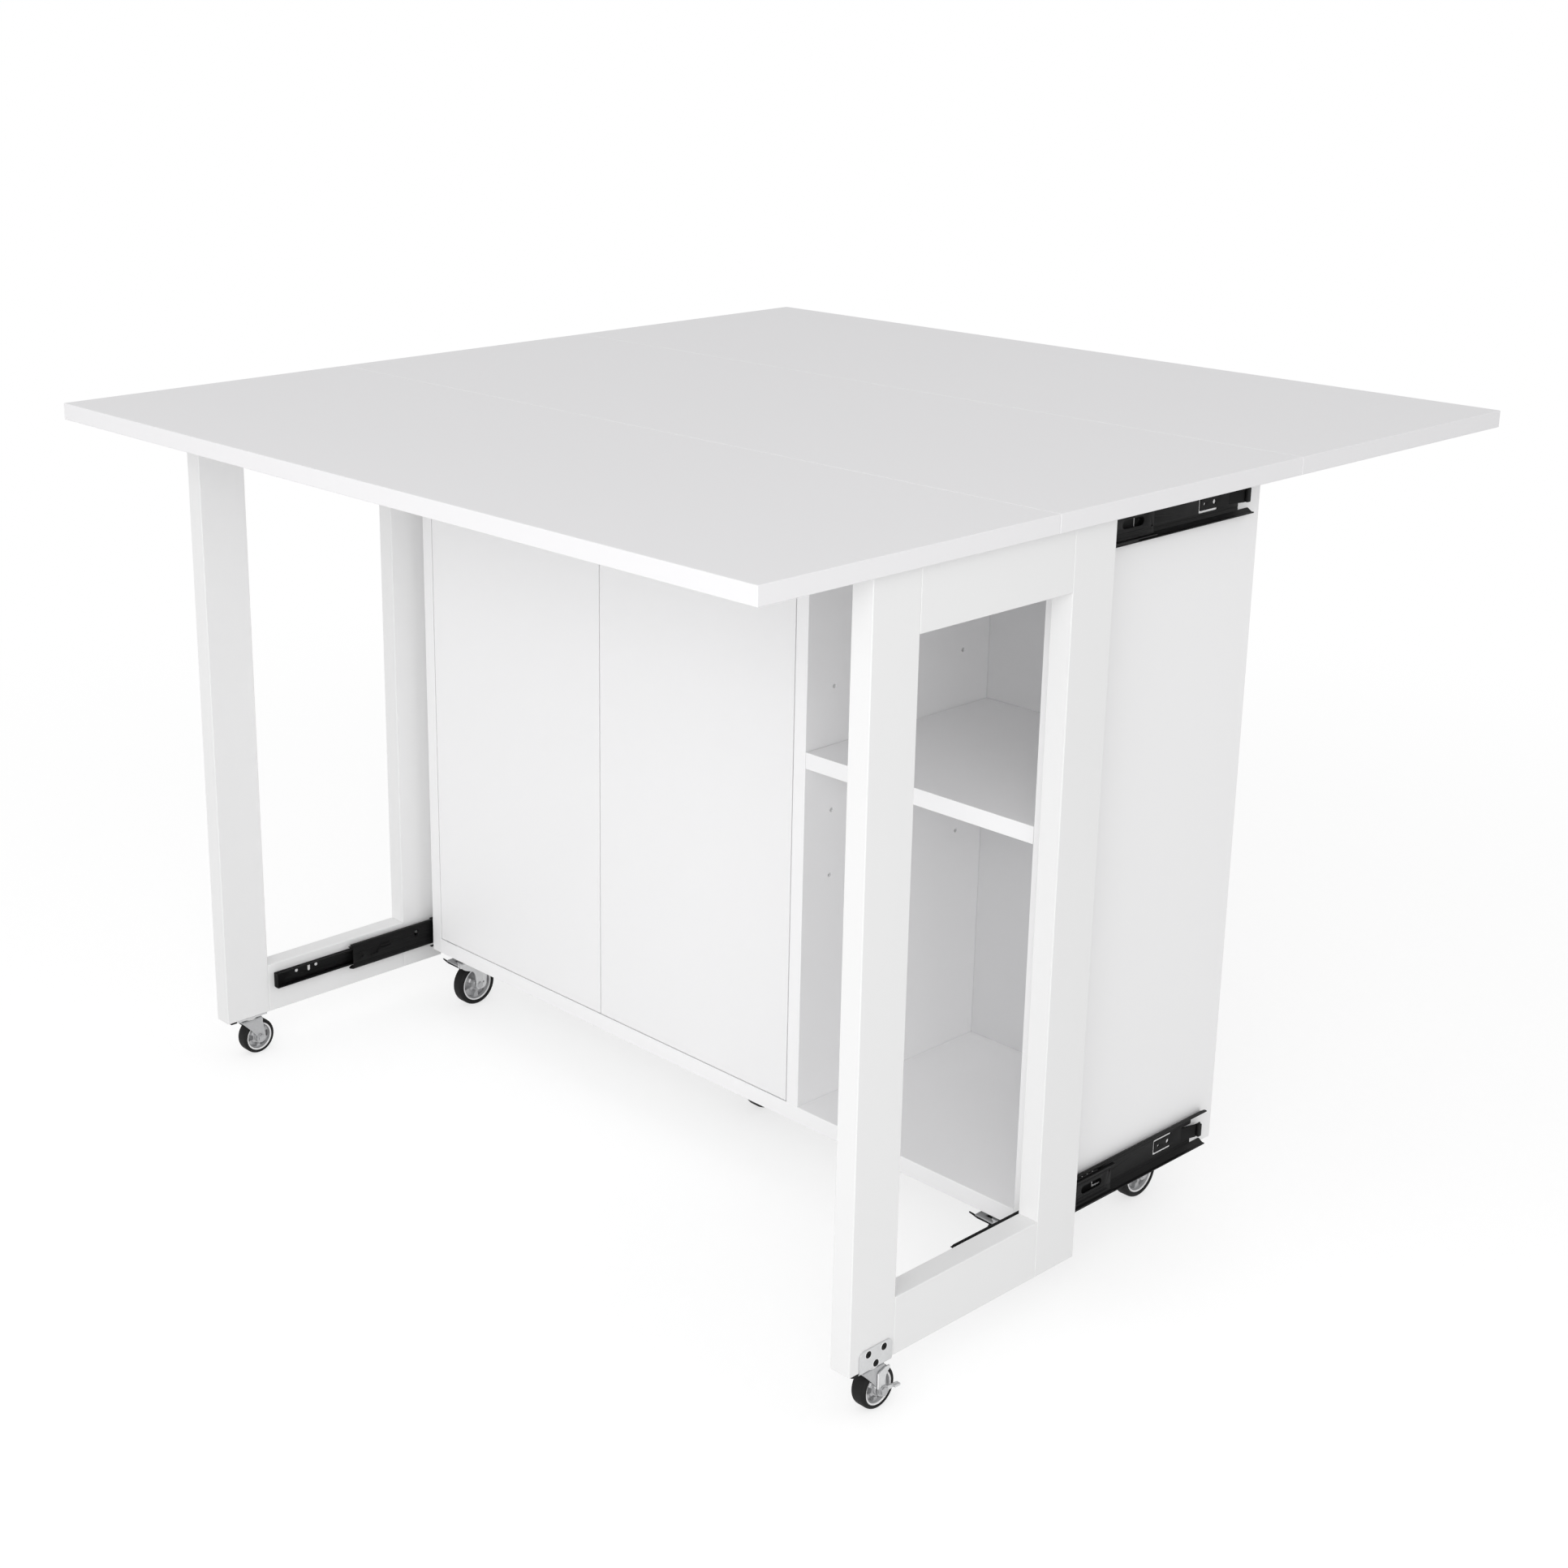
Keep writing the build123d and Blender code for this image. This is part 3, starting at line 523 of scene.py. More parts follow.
def fill(tree: bpy.types.NodeTree, node: bpy.types.Node, inputs: dict) -> bpy.types.Node:
    """Gives each input of a node its constant, or a link where a socket is given.

    Args:
        tree: the shader tree.
        node: the node.
        inputs: a constant or an output socket for each input, by name or number.

    Returns:
        The node.
    """
    for key, value in inputs.items():
        if isinstance(value, bpy.types.NodeSocket):
            tree.links.new(value, node.inputs[key])
        else:
            node.inputs[key].default_value = value
    return node


def added(tree: bpy.types.NodeTree, kind: str, inputs: dict | None = None) -> bpy.types.Node:
    """Adds a shader node of a kind and fills its inputs."""
    return fill(tree, tree.nodes.new(f"ShaderNode{kind}"), inputs or {})


# Finishes

class Surface(Enum):
    """The kinds of surface on the island."""

    LAMINATE = "laminate"
    COATED = "coated steel"
    ZINC = "zinc plate"
    RUBBER = "rubber"
    MOULDED = "moulded plastic"


@dataclass(frozen=True)
class Finish:
    """One finish with its colour and the grain of its surface."""

    name: str
    surface: Surface
    colour: tuple
    roughness: float
    metallic: float = 0.0
    mottle: float = 0.006
    mottle_scale: float = 5.0
    grain_scale: float = 1400.0
    grain_depth: float = 0.000015
    grain_strength: float = 0.6
    grain_detail: float = 3.0
    mottle_detail: float = 4.0
    gloss_change: float = 0.05
    specular: float = 0.5

    def material(self) -> bpy.types.Material:
        """Builds the finish as shader nodes, or finds it if it is there.

        Returns:
            The material.
        """
        found = bpy.data.materials.get(self.name)
        if found:
            return found
        made = bpy.data.materials.new(self.name)
        made.use_nodes = True
        tree = made.node_tree
        place = added(tree, "TexCoord").outputs["Object"]
        spots = self._pattern(tree, place)
        light = tuple(min(1.0, c * (1 + self.mottle)) for c in self.colour)
        dark = tuple(c * (1 - self.mottle) for c in self.colour)
        tint = added(tree, "Mix")
        tint.data_type = "RGBA"
        fill(tree, tint, {"A": (*dark, 1), "B": (*light, 1), "Factor": spots})
        gloss = added(tree, "MapRange", {
            "Value": spots,
            "To Min": self.roughness - self.gloss_change,
            "To Max": self.roughness + self.gloss_change,
        })
        grain = added(tree, "TexNoise", {
            "Vector": place, "Scale": self.grain_scale, "Detail": self.grain_detail,
        })
        relief = added(tree, "Bump", {
            "Strength": self.grain_strength, "Distance": self.grain_depth, "Height": grain.outputs["Fac"],
        })
        fill(tree, tree.nodes["Principled BSDF"], {
            "Metallic": self.metallic,
            "Specular IOR Level": self.specular,
            "Base Color": tint.outputs["Result"],
            "Roughness": gloss.outputs["Result"],
            "Normal": relief.outputs["Normal"],
        })
        return made

    def _pattern(self, tree: bpy.types.NodeTree, place: bpy.types.NodeSocket) -> bpy.types.NodeSocket:
        """The slow variation across the surface: crystals on zinc, soft clouds elsewhere.

        Args:
            tree: the material's shader tree.
            place: the socket that gives the place on the piece.

        Returns:
            The socket with the pattern, from 0 to 1.
        """
        inputs = {"Vector": place, "Scale": self.mottle_scale}
        if self.surface is Surface.ZINC:
            return added(tree, "TexVoronoi", inputs).outputs["Distance"]
        return added(tree, "TexNoise", {**inputs, "Detail": self.mottle_detail}).outputs["Fac"]

    def dress(self, *names: str) -> None:
        """Gives the finish to CAD nodes by name.

        Args:
            names: the nodes' names.
        """
        for name in names:
            self.cover(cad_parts[name])
            LOG.info("%s has %s", name, self.name)

    def cover(self, piece: Piece) -> Piece:
        """Gives the finish to a whole piece and returns the piece.

        Args:
            piece: the piece.

        Returns:
            The piece.
        """
        piece.data.materials.clear()
        piece.data.materials.append(self.material())
        return piece

    def coat(self, piece: Piece, edge: float = 0.0, angle: float = SMOOTH_ANGLE) -> Piece:
        """Finishes a piece that has just been shaped.

        Args:
            piece: the piece.
            edge: the width to which its sharp edges are rounded first, or 0 to leave them.
            angle: the angle in degrees below which it is shaded smooth.

        Returns:
            The piece.
        """
        if edge:
            ease(piece, edge)
        return self.cover(smooth(piece, angle))


BOARD_WHITE = Finish("board_white", Surface.LAMINATE, (0.92, 0.918, 0.922), 0.5, grain_depth=0.000012)
# The back board's white is darker than the board white: painted shade for the back of the bay.
BACK_WHITE_PAINTED_SHADE = Finish("back_white", Surface.LAMINATE, (0.69, 0.69, 0.698), 0.55, mottle_scale=6.0,
                    grain_scale=1300.0)
FRAME_WHITE = Finish("frame_white", Surface.LAMINATE, (0.85, 0.85, 0.85), 0.48, mottle_scale=7.0,
                     grain_depth=0.000012)
TOP_WHITE = Finish("top_white", Surface.LAMINATE, (0.85, 0.845, 0.855), 0.62, mottle=0.005,
                   mottle_scale=3.0, grain_scale=1200.0, grain_depth=0.000014, specular=0.3)
# The bay's divider, bottom and shelf get a white brighter than the board white: painted light inside the bay.
BAY_WHITE_PAINTED_LIGHT = Finish("bay_white", Surface.LAMINATE, (0.955, 0.953, 0.958), 0.5, grain_depth=0.000012)
SLIDE_BLACK = Finish("slide_black", Surface.COATED, (0.006, 0.006, 0.0062), 0.5, mottle=0.18,
                     mottle_scale=60.0, grain_scale=2600.0, grain_depth=0.00002, gloss_change=0.07,
                     specular=0.12)
SCREW_BLACK = Finish("screw_black", Surface.COATED, (0.004, 0.004, 0.004), 0.5, mottle=0.2,
                     mottle_scale=300.0, grain_scale=4000.0, grain_depth=0.00001, specular=0.15)
PEDAL_GREY = Finish("pedal_grey", Surface.COATED, (0.46, 0.463, 0.47), 0.45, metallic=0.3, mottle=0.06,
                    mottle_scale=200.0, grain_scale=2400.0)
ZINC = Finish("bright_zinc", Surface.ZINC, (0.46, 0.463, 0.47), 0.33, metallic=0.9, mottle=0.06,
              mottle_scale=420.0, grain_scale=2400.0, gloss_change=0.06)
ZINC_SATIN = Finish("satin_zinc", Surface.ZINC, (0.66, 0.665, 0.67), 0.42, metallic=0.75, mottle=0.04,
                    mottle_scale=380.0, grain_scale=2600.0, gloss_change=0.06)
BOLT_BRIGHT = Finish("bright_bolt", Surface.ZINC, (0.72, 0.72, 0.73), 0.25, metallic=0.95, mottle=0.04,
                     mottle_scale=500.0, grain_scale=3000.0, grain_depth=0.00001)
TYRE_BLACK = Finish("tyre_black", Surface.RUBBER, (0.011, 0.011, 0.0112), 0.68, mottle=0.15,
                    mottle_scale=90.0, grain_scale=3000.0, grain_depth=0.00004, gloss_change=0.08,
                    specular=0.2)
HUB_GREY = Finish("hub_grey", Surface.MOULDED, (0.44, 0.443, 0.45), 0.38, metallic=0.4, mottle=0.04,
                  mottle_scale=120.0, grain_scale=2000.0, grain_depth=0.00002)
RIM_BRIGHT = Finish("rim_bright", Surface.MOULDED, (0.93, 0.93, 0.935), 0.3, mottle=0.02,
                    mottle_scale=120.0, grain_scale=2000.0, grain_depth=0.00001)
CATCH_GREY = Finish("catch_grey", Surface.MOULDED, (0.62, 0.62, 0.61), 0.45, mottle=0.03,
                    mottle_scale=150.0, grain_scale=1800.0, grain_depth=0.00003)
RACE_PALE = Finish("pale_raceway", Surface.MOULDED, (0.70, 0.70, 0.69), 0.4, mottle=0.03,
                   mottle_scale=160.0, grain_scale=2200.0, grain_depth=0.00001)


# Boards, doors and gate frames keep their CAD meshes

@dataclass
class BoardWork:
    """The white boards: worktop, cabinet, doors and gate frames."""

    worktop: tuple = ("centre_top", "front_leaf", "rear_leaf")
    cabinet: tuple = (
        "left_side", "right_side", "top_stretchers", "cupboard_shelf", "left_door", "right_door",
    )
    bay: tuple = ("divider", "bottom_board", "bay_shelf")
    gate_members: tuple = ("front_post", "rear_post", "bottom_rail", "top_rail")

    def build(self) -> None:
        """Dresses every board."""
        TOP_WHITE.dress(*self.worktop)
        BOARD_WHITE.dress(*self.cabinet)
        # The bay boards are lightened with painted light and the back board is darkened with painted shade.
        BAY_WHITE_PAINTED_LIGHT.dress(*self.bay)
        BACK_WHITE_PAINTED_SHADE.dress("back_board")
        for side in ("left", "right"):
            FRAME_WHITE.dress(*(f"{side}_gate_{member}" for member in self.gate_members))


@dataclass
class SmallMetalwork:
    """Hinges, pins, catches and plates that keep their CAD meshes."""

    zinc: tuple = (
        "front_leaf_straps", "rear_leaf_straps", "leaf_hinges", "door_pivots", "caster_plates",
        "shelf_pins",
    )
    plastic: tuple = ("push_catches", "left_plunger", "right_plunger")

    def build(self) -> None:
        """Dresses every small metal or plastic node."""
        ZINC.dress(*self.zinc)
        CATCH_GREY.dress(*self.plastic)


# Wheels and casters

@dataclass(frozen=True)
class WheelSize:
    """Sizes that the wheels of one kind of caster share, in millimetres and degrees."""

    width: float
    tyre_depth: float
    shoulder: float
    fork_gap: float = 1.6
    bore: float = 3.1
    rim: float = 2.2
    boss: float = 7.2
    boss_play: float = 0.4
    face_inset: float = 1.2
    web: float = 4.6
    knee_share: float = 0.42
    pocket_floor: float = 0.9
    pocket_from_boss: float = 1.6
    pocket_from_rim: float = 1.4
    pockets: int = 6
    spoke_angle: float = 22.0
    tyre_play: float = 0.05
    wheel_steps: int = 72
    hub_smooth: float = 38.0


@dataclass
class Wheel:
    """One caster wheel: a tyre with rounded shoulders on a dished hub with pockets and a bright rim."""

    size: WheelSize
    centre: Vector
    radius: float

    def _turned(self, name: str, half: list, crown: tuple = ()) -> Piece:
        """Turns a body about the axle from a crown, the right half of its section and the left half."""
        whole = [*crown, *half, *[(-along, out) for along, out in reversed(half)]]
        return turned(name, tuple(self.centre), whole, steps=self.size.wheel_steps)

    def tyre(self, name: str) -> Piece:
        """Turns the tyre.

        Args:
            name: the tyre's name.

        Returns:
            The tyre.
        """
        half, inner = self.size.width / 2, self.radius - self.size.tyre_depth
        bend = self.size.shoulder
        left = arc((bend - half, self.radius - bend), bend, 180, 90, 8)
        right = arc((half - bend, self.radius - bend), bend, 90, 0, 8)
        lip = [(half, inner + 0.9), (half - 0.7, inner + 0.2), (half - 1.6, inner)]
        return TYRE_BLACK.coat(self._turned(name, lip, (*left, *right)))

    def hub(self, name: str) -> Piece:
        """Turns the hub, cuts its pockets and brightens its rim.

        Args:
            name: the hub's name.

        Returns:
            The hub.
        """
        size = self.size
        rim_r = self.radius - size.tyre_depth - size.tyre_play
        rim_in = rim_r - size.rim
        face = size.width / 2 - size.face_inset
        boss_end = size.width / 2 + size.fork_gap - size.boss_play
        knee = size.boss + size.knee_share * (rim_in - size.boss)
        half = [
            (boss_end, size.bore), (boss_end, size.boss - 0.7), (boss_end - 0.7, size.boss),
            (face - 0.9, size.boss + 0.5), (face - 1.5, knee - 0.6), (face - 2.1, knee),
            (size.web, knee + 0.7), (size.web, rim_in - 1.0), (face - 0.7, rim_in),
            (face, rim_in + 0.4), (face, rim_r - 0.4), (face - 0.4, rim_r),
        ]
        piece = self._turned(name, half)
        for cutter in self._pockets(size.boss + size.pocket_from_boss, rim_in - size.pocket_from_rim):
            carve(piece, cutter)
        HUB_GREY.coat(tidy(piece), angle=size.hub_smooth)
        piece.data.materials.append(RIM_BRIGHT.material())
        for face_of_rim in piece.data.polygons:
            place = face_of_rim.center / MM - self.centre
            if math.hypot(place.y, place.z) > rim_in - 0.2:
                face_of_rim.material_index = 1
        return piece

    def _pockets(self, inner: float, outer: float) -> list:
        """Cutters for the pockets in both faces of the hub.

        Args:
            inner: the pockets' least distance from the axle.
            outer: their greatest distance.

        Returns:
            The cutters.
        """
        x, y, z = self.centre
        width = 180 / self.size.pockets - self.size.spoke_angle / 2
        cutters = []
        for side, k in product((-1, 1), range(self.size.pockets)):
            middle = k * 360 / self.size.pockets
            wide = [(middle + width * t, outer) for t in (-0.8, -0.4, 0.0, 0.4, 0.8)]
            flank = [(middle + width, outer - 1.0), (middle + width * 0.9, inner + 0.8)]
            narrow = [(middle + width * t, inner) for t in (0.5, 0.0, -0.5)]
            other = [(2 * middle - angle, out) for angle, out in reversed(flank)]
            turns = [(math.radians(angle), out) for angle, out in (*wide, *flank, *narrow, *other)]
            points = [(y + out * math.cos(turn), z + out * math.sin(turn)) for turn, out in turns]
            floor = x + side * self.size.pocket_floor
            cutters.append(plate("pocket", ACROSS, floor, points, side * self.size.width))
        return cutters


@dataclass
class Fork:
    """A swivel fork bent from one sheet, with its raceway, kingpin and axle bolt."""

    wheel: Wheel
    axis: tuple
    plate_bottom: float
    beyond: float
    pin_rise: float
    sheet: float = 2.2
    bend: float = 2.6
    half_depth: float = 15.4
    blank_half: float = 20.0
    crown_drop: float = 1.9
    boss: float = 7.0
    race: float = 12.0
    race_bore: float = 3.9
    race_round: float = 0.7
    pin: float = 4.0
    pin_depth: float = 3.4
    bolt: float = 3.0
    bolt_head: float = 2.6
    washer: tuple = (5.9, 0.6)
    nut_corner: float = 5.0

    @property
    def crown_top(self) -> float:
        """The height of the crown's upper face."""
        return self.plate_bottom - self.crown_drop

    @property
    def leg_middle(self) -> float:
        """The distance from the swivel axis to the middle of a leg's sheet."""
        return self.wheel.size.width / 2 + self.wheel.size.fork_gap + self.sheet / 2

    def _side_view(self) -> list:
        """The fork's outline from the side, as (y, z) pairs.

        Returns:
            The outline's points.
        """
        trail = self.wheel.centre.y - self.axis[1]
        ahead = math.copysign(1.0, trail)
        long, up = abs(trail), self.wheel.centre.z
        half, skirt = self.half_depth, self.crown_top - self.sheet
        lead = arc((long, up), self.boss, 150, 150, 1)[0]
        outer = [
            (-half, self.crown_top + PAST),
            *sweep((-half, skirt), (-half * 0.2, (skirt + up) / 2 + 1.5), lead),
            *arc((long, up), self.boss, 160, 375, 18),
            *sweep((half, skirt - 4.5), (half, skirt - 2.5), (half, skirt), 2),
            (half, self.crown_top + PAST),
        ]
        return [(self.axis[1] + ahead * a, z) for a, z in outer]

    def frame(self, name: str) -> Piece:
        """Bends the sheet, trims it from the side and adds the raceway and the kingpin.

        Args:
            name: the fork's name.

        Returns:
            The fork.
        """
        x, y = self.axis
        leg, middle, top = self.leg_middle, self.wheel.centre, self.crown_top
        low, crown = middle.z - self.boss - 2 * PAST, top - self.sheet / 2
        corners = [(-leg, low), (-leg, crown), (leg, crown), (leg, low)]
        section = [(x + a, z) for a, z in ribbon(folded(corners, self.bend, 5), self.sheet)]
        sheet = plate(name, ALONG, y - self.blank_half, section, 2 * self.blank_half)
        reach = leg + self.sheet
        carve(sheet, plate("trim", ACROSS, x - reach, self._side_view(), 2 * reach), Carve.KEEP)
        drill(sheet, (x - reach, middle.y, middle.z), ACROSS, AXLE_HOLE, 2 * reach)
        ZINC.coat(tidy(sheet), 0.3)
        outer, bend = self.race, self.race_round
        dome = [(-0.4, self.race_bore), (-0.4, outer), (0.9, outer)]
        dome += [(z, out) for out, z in arc((outer - bend, 0.9), bend, 0, 90, 4)]
        dome += [(1.6, self.race_bore)]
        race = RACE_PALE.coat(turned("raceway", (x, y, top), dome, UPRIGHT, 60))
        length = self.plate_bottom - top + self.pin_depth + self.pin_rise
        pin = rod("kingpin", (x, y, top - self.pin_depth), UPRIGHT, self.pin, length)
        return joined(name, [sheet, race, ZINC.coat(pin, 0.5)])

    def axle(self, name: str) -> Piece:
        """The axle bolt with its washers, hexagonal head and nut.

        Args:
            name: the axle's name.

        Returns:
            The axle.
        """
        x, y, z = self.axis[0], self.wheel.centre.y, self.wheel.centre.z
        reach = self.leg_middle + self.sheet / 2
        head, radius, thick = self.bolt_head, *self.washer
        start, end = x - reach - head, x + reach + self.beyond + head
        parts = [ZINC.coat(rod(name, (start + 0.4, y, z), ACROSS, self.bolt, end - start - 0.8, 32), 0.5)]
        for face, way in ((x - reach, -1), (x + reach + self.beyond, 1)):
            outward = (way, 0, 0)
            washer = rod("washer", (face + way * 0.02, y, z), outward, radius, thick, 40)
            nut = rod("nut", (face + way * thick, y, z), outward, self.nut_corner, head - 0.9, 6)
            parts += [ZINC.coat(washer, 0.15), ZINC.coat(nut, 0.35)]
        return joined(name, parts)


@dataclass
class GateCaster:
    """The caster under each gate, with its angle bracket, black screws and brake lever."""

    size: WheelSize = WheelSize(width=18.3, tyre_depth=4.3, shoulder=4.0)
    trail: float = 12.0
    pin_rise: float = 1.6
    bracket_sheet: float = 2.0
    bracket_bend: float = 2.2
    bracket_corner: float = 6.5
    bracket_blank: float = 5.0
    lip_reach: float = 8.5
    lip_corner: float = 2.5
    lip_step: float = 1.8
    screws: tuple = ((-11.3, 17.8), (11.3, 17.8), (0.0, 4.0))
    screw_sink: tuple = ((0.1, 0.0), (0.1, 4.3), (-2.6, 1.9), (-2.6, 0.0))
    screw_dome: tuple = ((-2.0, 0.0), (-2.0, 1.9), (0.1, 3.8), (0.4, 3.55), (0.62, 2.4), (0.66, 0.0))
    screw_ring: tuple = ((-0.2, 3.9), (-0.2, 4.7), (0.15, 4.6), (0.15, 4.1))
    screw_recess: float = 1.3
    lever_gap: float = 0.25
    lever_sheet: float = 1.6
    lever_up: float = 26.0
    lever_back: float = 21.5
    lever_eye: float = 5.6
    tab_out: float = 5.5
    tab_long: float = 8.0
    tab_half: float = 1.2

    def __post_init__(self) -> None:
        """Reads the wheel's place from the frame."""
        low, high = span("right_gate_tyre")
        self.wheel = Wheel(self.size, (low + high) / 2, (high.z - low.z) / 2)
        self.axis = (self.wheel.centre.x, self.wheel.centre.y - self.trail)
        self.bracket_low, self.bracket_high = span("right_gate_bracket")
        beyond = self.lever_sheet + 2 * self.lever_gap
        self.fork = Fork(self.wheel, self.axis, self.bracket_low.z, beyond, self.pin_rise)

    def build(self) -> None:
        """Builds the right caster and its mirrored copy."""
        pieces = (
            (self.wheel.tyre("right_gate_tyre_look"), "gate_wheel", "black_tyre", "gate_tyre"),
            (self.wheel.hub("right_gate_hub_look"), "gate_wheel", "grey_hub", "gate_hub"),
            (self.fork.frame("right_gate_fork_look"), "gate_caster", "zinc_steel", "gate_fork"),
            (self.fork.axle("right_gate_axle_look"), "gate_caster", "zinc_steel", "gate_fork"),
            (self._lever(), "gate_brake", "zinc_steel", "gate_brake"),
            (self._bracket(), "gate", "zinc_steel", "gate_bracket"),
            (self._screws(), "gate", "black_steel", None),
        )
        for piece, body, slot, node in pieces:
            other = copied(piece, piece.name.replace("right", "left"), mirror=Mirror.SIDEWAYS)
            for side, made in (("right", piece), ("left", other)):
                seat(made, f"{side}_{body}", (f"{side}_{node}",) if node else ())

    def _bracket(self) -> Piece:
        """The angle bracket with rounded corners and sunk screw holes, and its tongue in front, black as
        painted shade.

        Returns:
            The bracket with its tongue.
        """
        low, high, spare = self.bracket_low, self.bracket_high, self.bracket_blank
        half, bend = self.bracket_sheet / 2, self.bracket_corner
        corners = [(low.x, low.z + half), (high.x - half, low.z + half), (high.x - half, high.z)]
        section = ribbon(folded(corners, self.bracket_bend, 5), self.bracket_sheet)
        name = "right_gate_bracket_look"
        piece = plate(name, ALONG, low.y - spare, section, high.y - low.y + 2 * spare)
        side_view = [
            (low.y, low.z - PAST), (high.y, low.z - PAST),
            *arc((high.y - bend, high.z - bend), bend, 0, 90, 8),
            *arc((low.y + bend, high.z - bend), bend, 90, 180, 8),
        ]
        trim = plate("trim", ACROSS, low.x - PAST, side_view, high.x - low.x + 2 * PAST)
        carve(piece, trim, Carve.KEEP)
        for place in self._screw_places():
            carve(piece, turned("sink", place, self.screw_sink))
        ZINC_SATIN.coat(piece, 0.25)
        # The zinc tongue under the post is coloured black: painted shade from the post above it.
        lip = box("lip", (low.x, low.y - self.lip_reach, low.z + 0.05),
                  (high.x - self.lip_step, low.y + 0.05, low.z + 1.95))
        rounded(lip, lambda v: v.y < low.y - 1 and v.x > high.x - 3, self.lip_corner, 5)
        return joined(name, [piece, SCREW_BLACK.coat(lip, 0.2)])

    def _screw_places(self) -> list:
        """The middles of the three screw heads, on the bracket's outer face."""
        middle, base = (self.bracket_low.y + self.bracket_high.y) / 2, self.bracket_low.z + self.bracket_sheet
        return [Vector((self.bracket_high.x, middle + along, base + rise)) for along, rise in self.screws]

    def _screws(self) -> Piece:
        """The three black screws with hexagonal recesses, each in its bright sunk ring.

        Returns:
            The screws with their rings.
        """
        parts = []
        for place in self._screw_places():
            screw = turned("screw", place, self.screw_dome)
            drill(screw, (place.x + 0.05, place.y, place.z), ACROSS, self.screw_recess, 3, 6)
            ring = turned("ring", place, self.screw_ring)
            parts += [SCREW_BLACK.coat(screw), RIM_BRIGHT.coat(ring)]
        return joined("right_gate_screws", parts)

    def _lever(self) -> Piece:
        """The brake lever: a strap round the axle end that rises and widens, a blade with a tab, and a bright
        strip that is a painted highlight on its folded edge.

        Returns:
            The lever.
        """
        x, y, z = self.wheel.centre
        x = x + self.size.width / 2 + self.size.fork_gap + self.fork.sheet + self.lever_gap
        up, back, eye = self.lever_up, self.lever_back, self.lever_eye
        side_view = [
            (-7.6, up - 4.5), (-7.0, up - 3.5), (0.8, up - 0.4), (1.8, up), (8.0, up), (8.6, up - 1),
            (7.8, up - 4), *sweep((6.4, up - 5), (3.2, up - 8), (1.6, 10.0)),
            *arc((0, 0), eye, 60, 28, 4), (9, 2.3), (back - 1, 1.2), (back, 0.4), (back, -1.2),
            (back - 1, -1.6), (9, -2.5), *arc((0, 0), eye, -28, -190, 14), (-6.6, 5.0), (-7.6, 9.0),
        ]
        name, side_view = "right_gate_brake_look", [(y + a, z + b) for a, b in side_view]
        blade = plate(name, ACROSS, x, side_view, self.lever_sheet)
        drill(blade, (x - PAST, y, z), ACROSS, AXLE_HOLE, 4)
        tab = box("tab", (x + 0.2, y + back - self.tab_long, z - self.tab_half),
                  (x + self.tab_out, y + back - 0.1, z + self.tab_half))
        rounded(tab, lambda v: v.x > x + 4, 1.1, 4)
        carve(blade, ease(tab, 0.3), Carve.WELD)
        drill(blade, (x + self.lever_sheet + 0.35, y - eye, z + 6), UPRIGHT, 0.8, up - 11, 12)
        # A narrow strip in the bright rim finish: a painted highlight along the lever's folded edge.
        edge = box("edge", (x + 0.05, y - 8.0, z + 4), (x + self.lever_sheet - 0.1, y - 7.0, z + up - 4.4))
        return joined(name, [ZINC_SATIN.coat(blade, 0.2), RIM_BRIGHT.coat(edge, 0.35)])


@dataclass
class CabinetCasters:
    """The five casters under the cabinet, the front two with a brake pedal."""

    size: WheelSize = WheelSize(width=18.0, tyre_depth=6.2, shoulder=4.2)
    trail: float = -11.0
    pin_rise: float = 2.0
    pedalled: tuple = ("front_left", "front_right")
    others: tuple = ("rear_left", "rear_right", "middle")
    plate_hole: float = 20.0
    screw_dome: tuple = ((0.4, 0.0), (0.4, 4.0), (-0.5, 4.0), (-1.4, 3.2), (-1.9, 1.6), (-2.0, 0.0))
    screw_recess: tuple = (1.5, 2.2)

    def _wheel(self, name: str) -> Wheel:
        """The wheel of one caster, at its place in the frame.

        Args:
            name: the caster's name.

        Returns:
            The wheel.
        """
        node = f"{name}_tyre" if name in self.pedalled else f"{name}_wheel"
        low, high = span(node)
        return Wheel(self.size, (low + high) / 2, (high.z - low.z) / 2)

    def build(self) -> None:
        """Builds the front left caster and copies it to the other places."""
        model = self.pedalled[0]
        first = self._wheel(model)
        axis = (first.centre.x, first.centre.y - self.trail)
        fork = Fork(first, axis, span("caster_plates")[0].z, 0.0, self.pin_rise)
        pieces = (
            (first.tyre("front_left_tyre_look"), "wheel", "black_tyre", "tyre"),
            (first.hub("front_left_hub_look"), "wheel", "grey_hub", "hub"),
            (fork.frame("front_left_fork_look"), "caster", "zinc_steel", "fork"),
            (fork.axle("front_left_axle_look"), "caster", "zinc_steel", "fork"),
        )
        pedal = Pedal(fork, *span("front_left_pedal"))
        pedal_pieces = (
            (pedal.pedal(), "pedal", "pedal_steel", "pedal"),
            (pedal.carrier(), "caster", "zinc_steel", "fork"),
        )
        for name in (*self.pedalled, *self.others):
            step = self._wheel(name).centre - first.centre
            has_pedal = name in self.pedalled
            for piece, body, slot, part in (*pieces, *(pedal_pieces if has_pedal else ())):
                made = piece
                if name != model:
                    made = copied(piece, piece.name.replace(model, name), tuple(step))
                node = part if has_pedal or body != "wheel" else "wheel"
                seat(made, f"{name}_{body}", (f"{name}_{node}",))
        self._plate_screws()

    def _plate_screws(self) -> None:
        """The round heads of the screws that hold the plates to the cabinet."""
        z, hole = span("caster_plates")[0].z, self.plate_hole
        heads = []
        for name in (*self.pedalled, *self.others):
            middle = self._wheel(name).centre
            for a, b in product((-hole, hole), repeat=2):
                x, y = middle.x + a, middle.y - self.trail + b
                head = turned("head", (x, y, z), self.screw_dome, UPRIGHT, 32)
                drill(head, (x, y, z - 3), UPRIGHT, *self.screw_recess, 6)
                heads.append(BOLT_BRIGHT.coat(head))
        seat(joined("caster_plate_screws", heads), "cabinet")


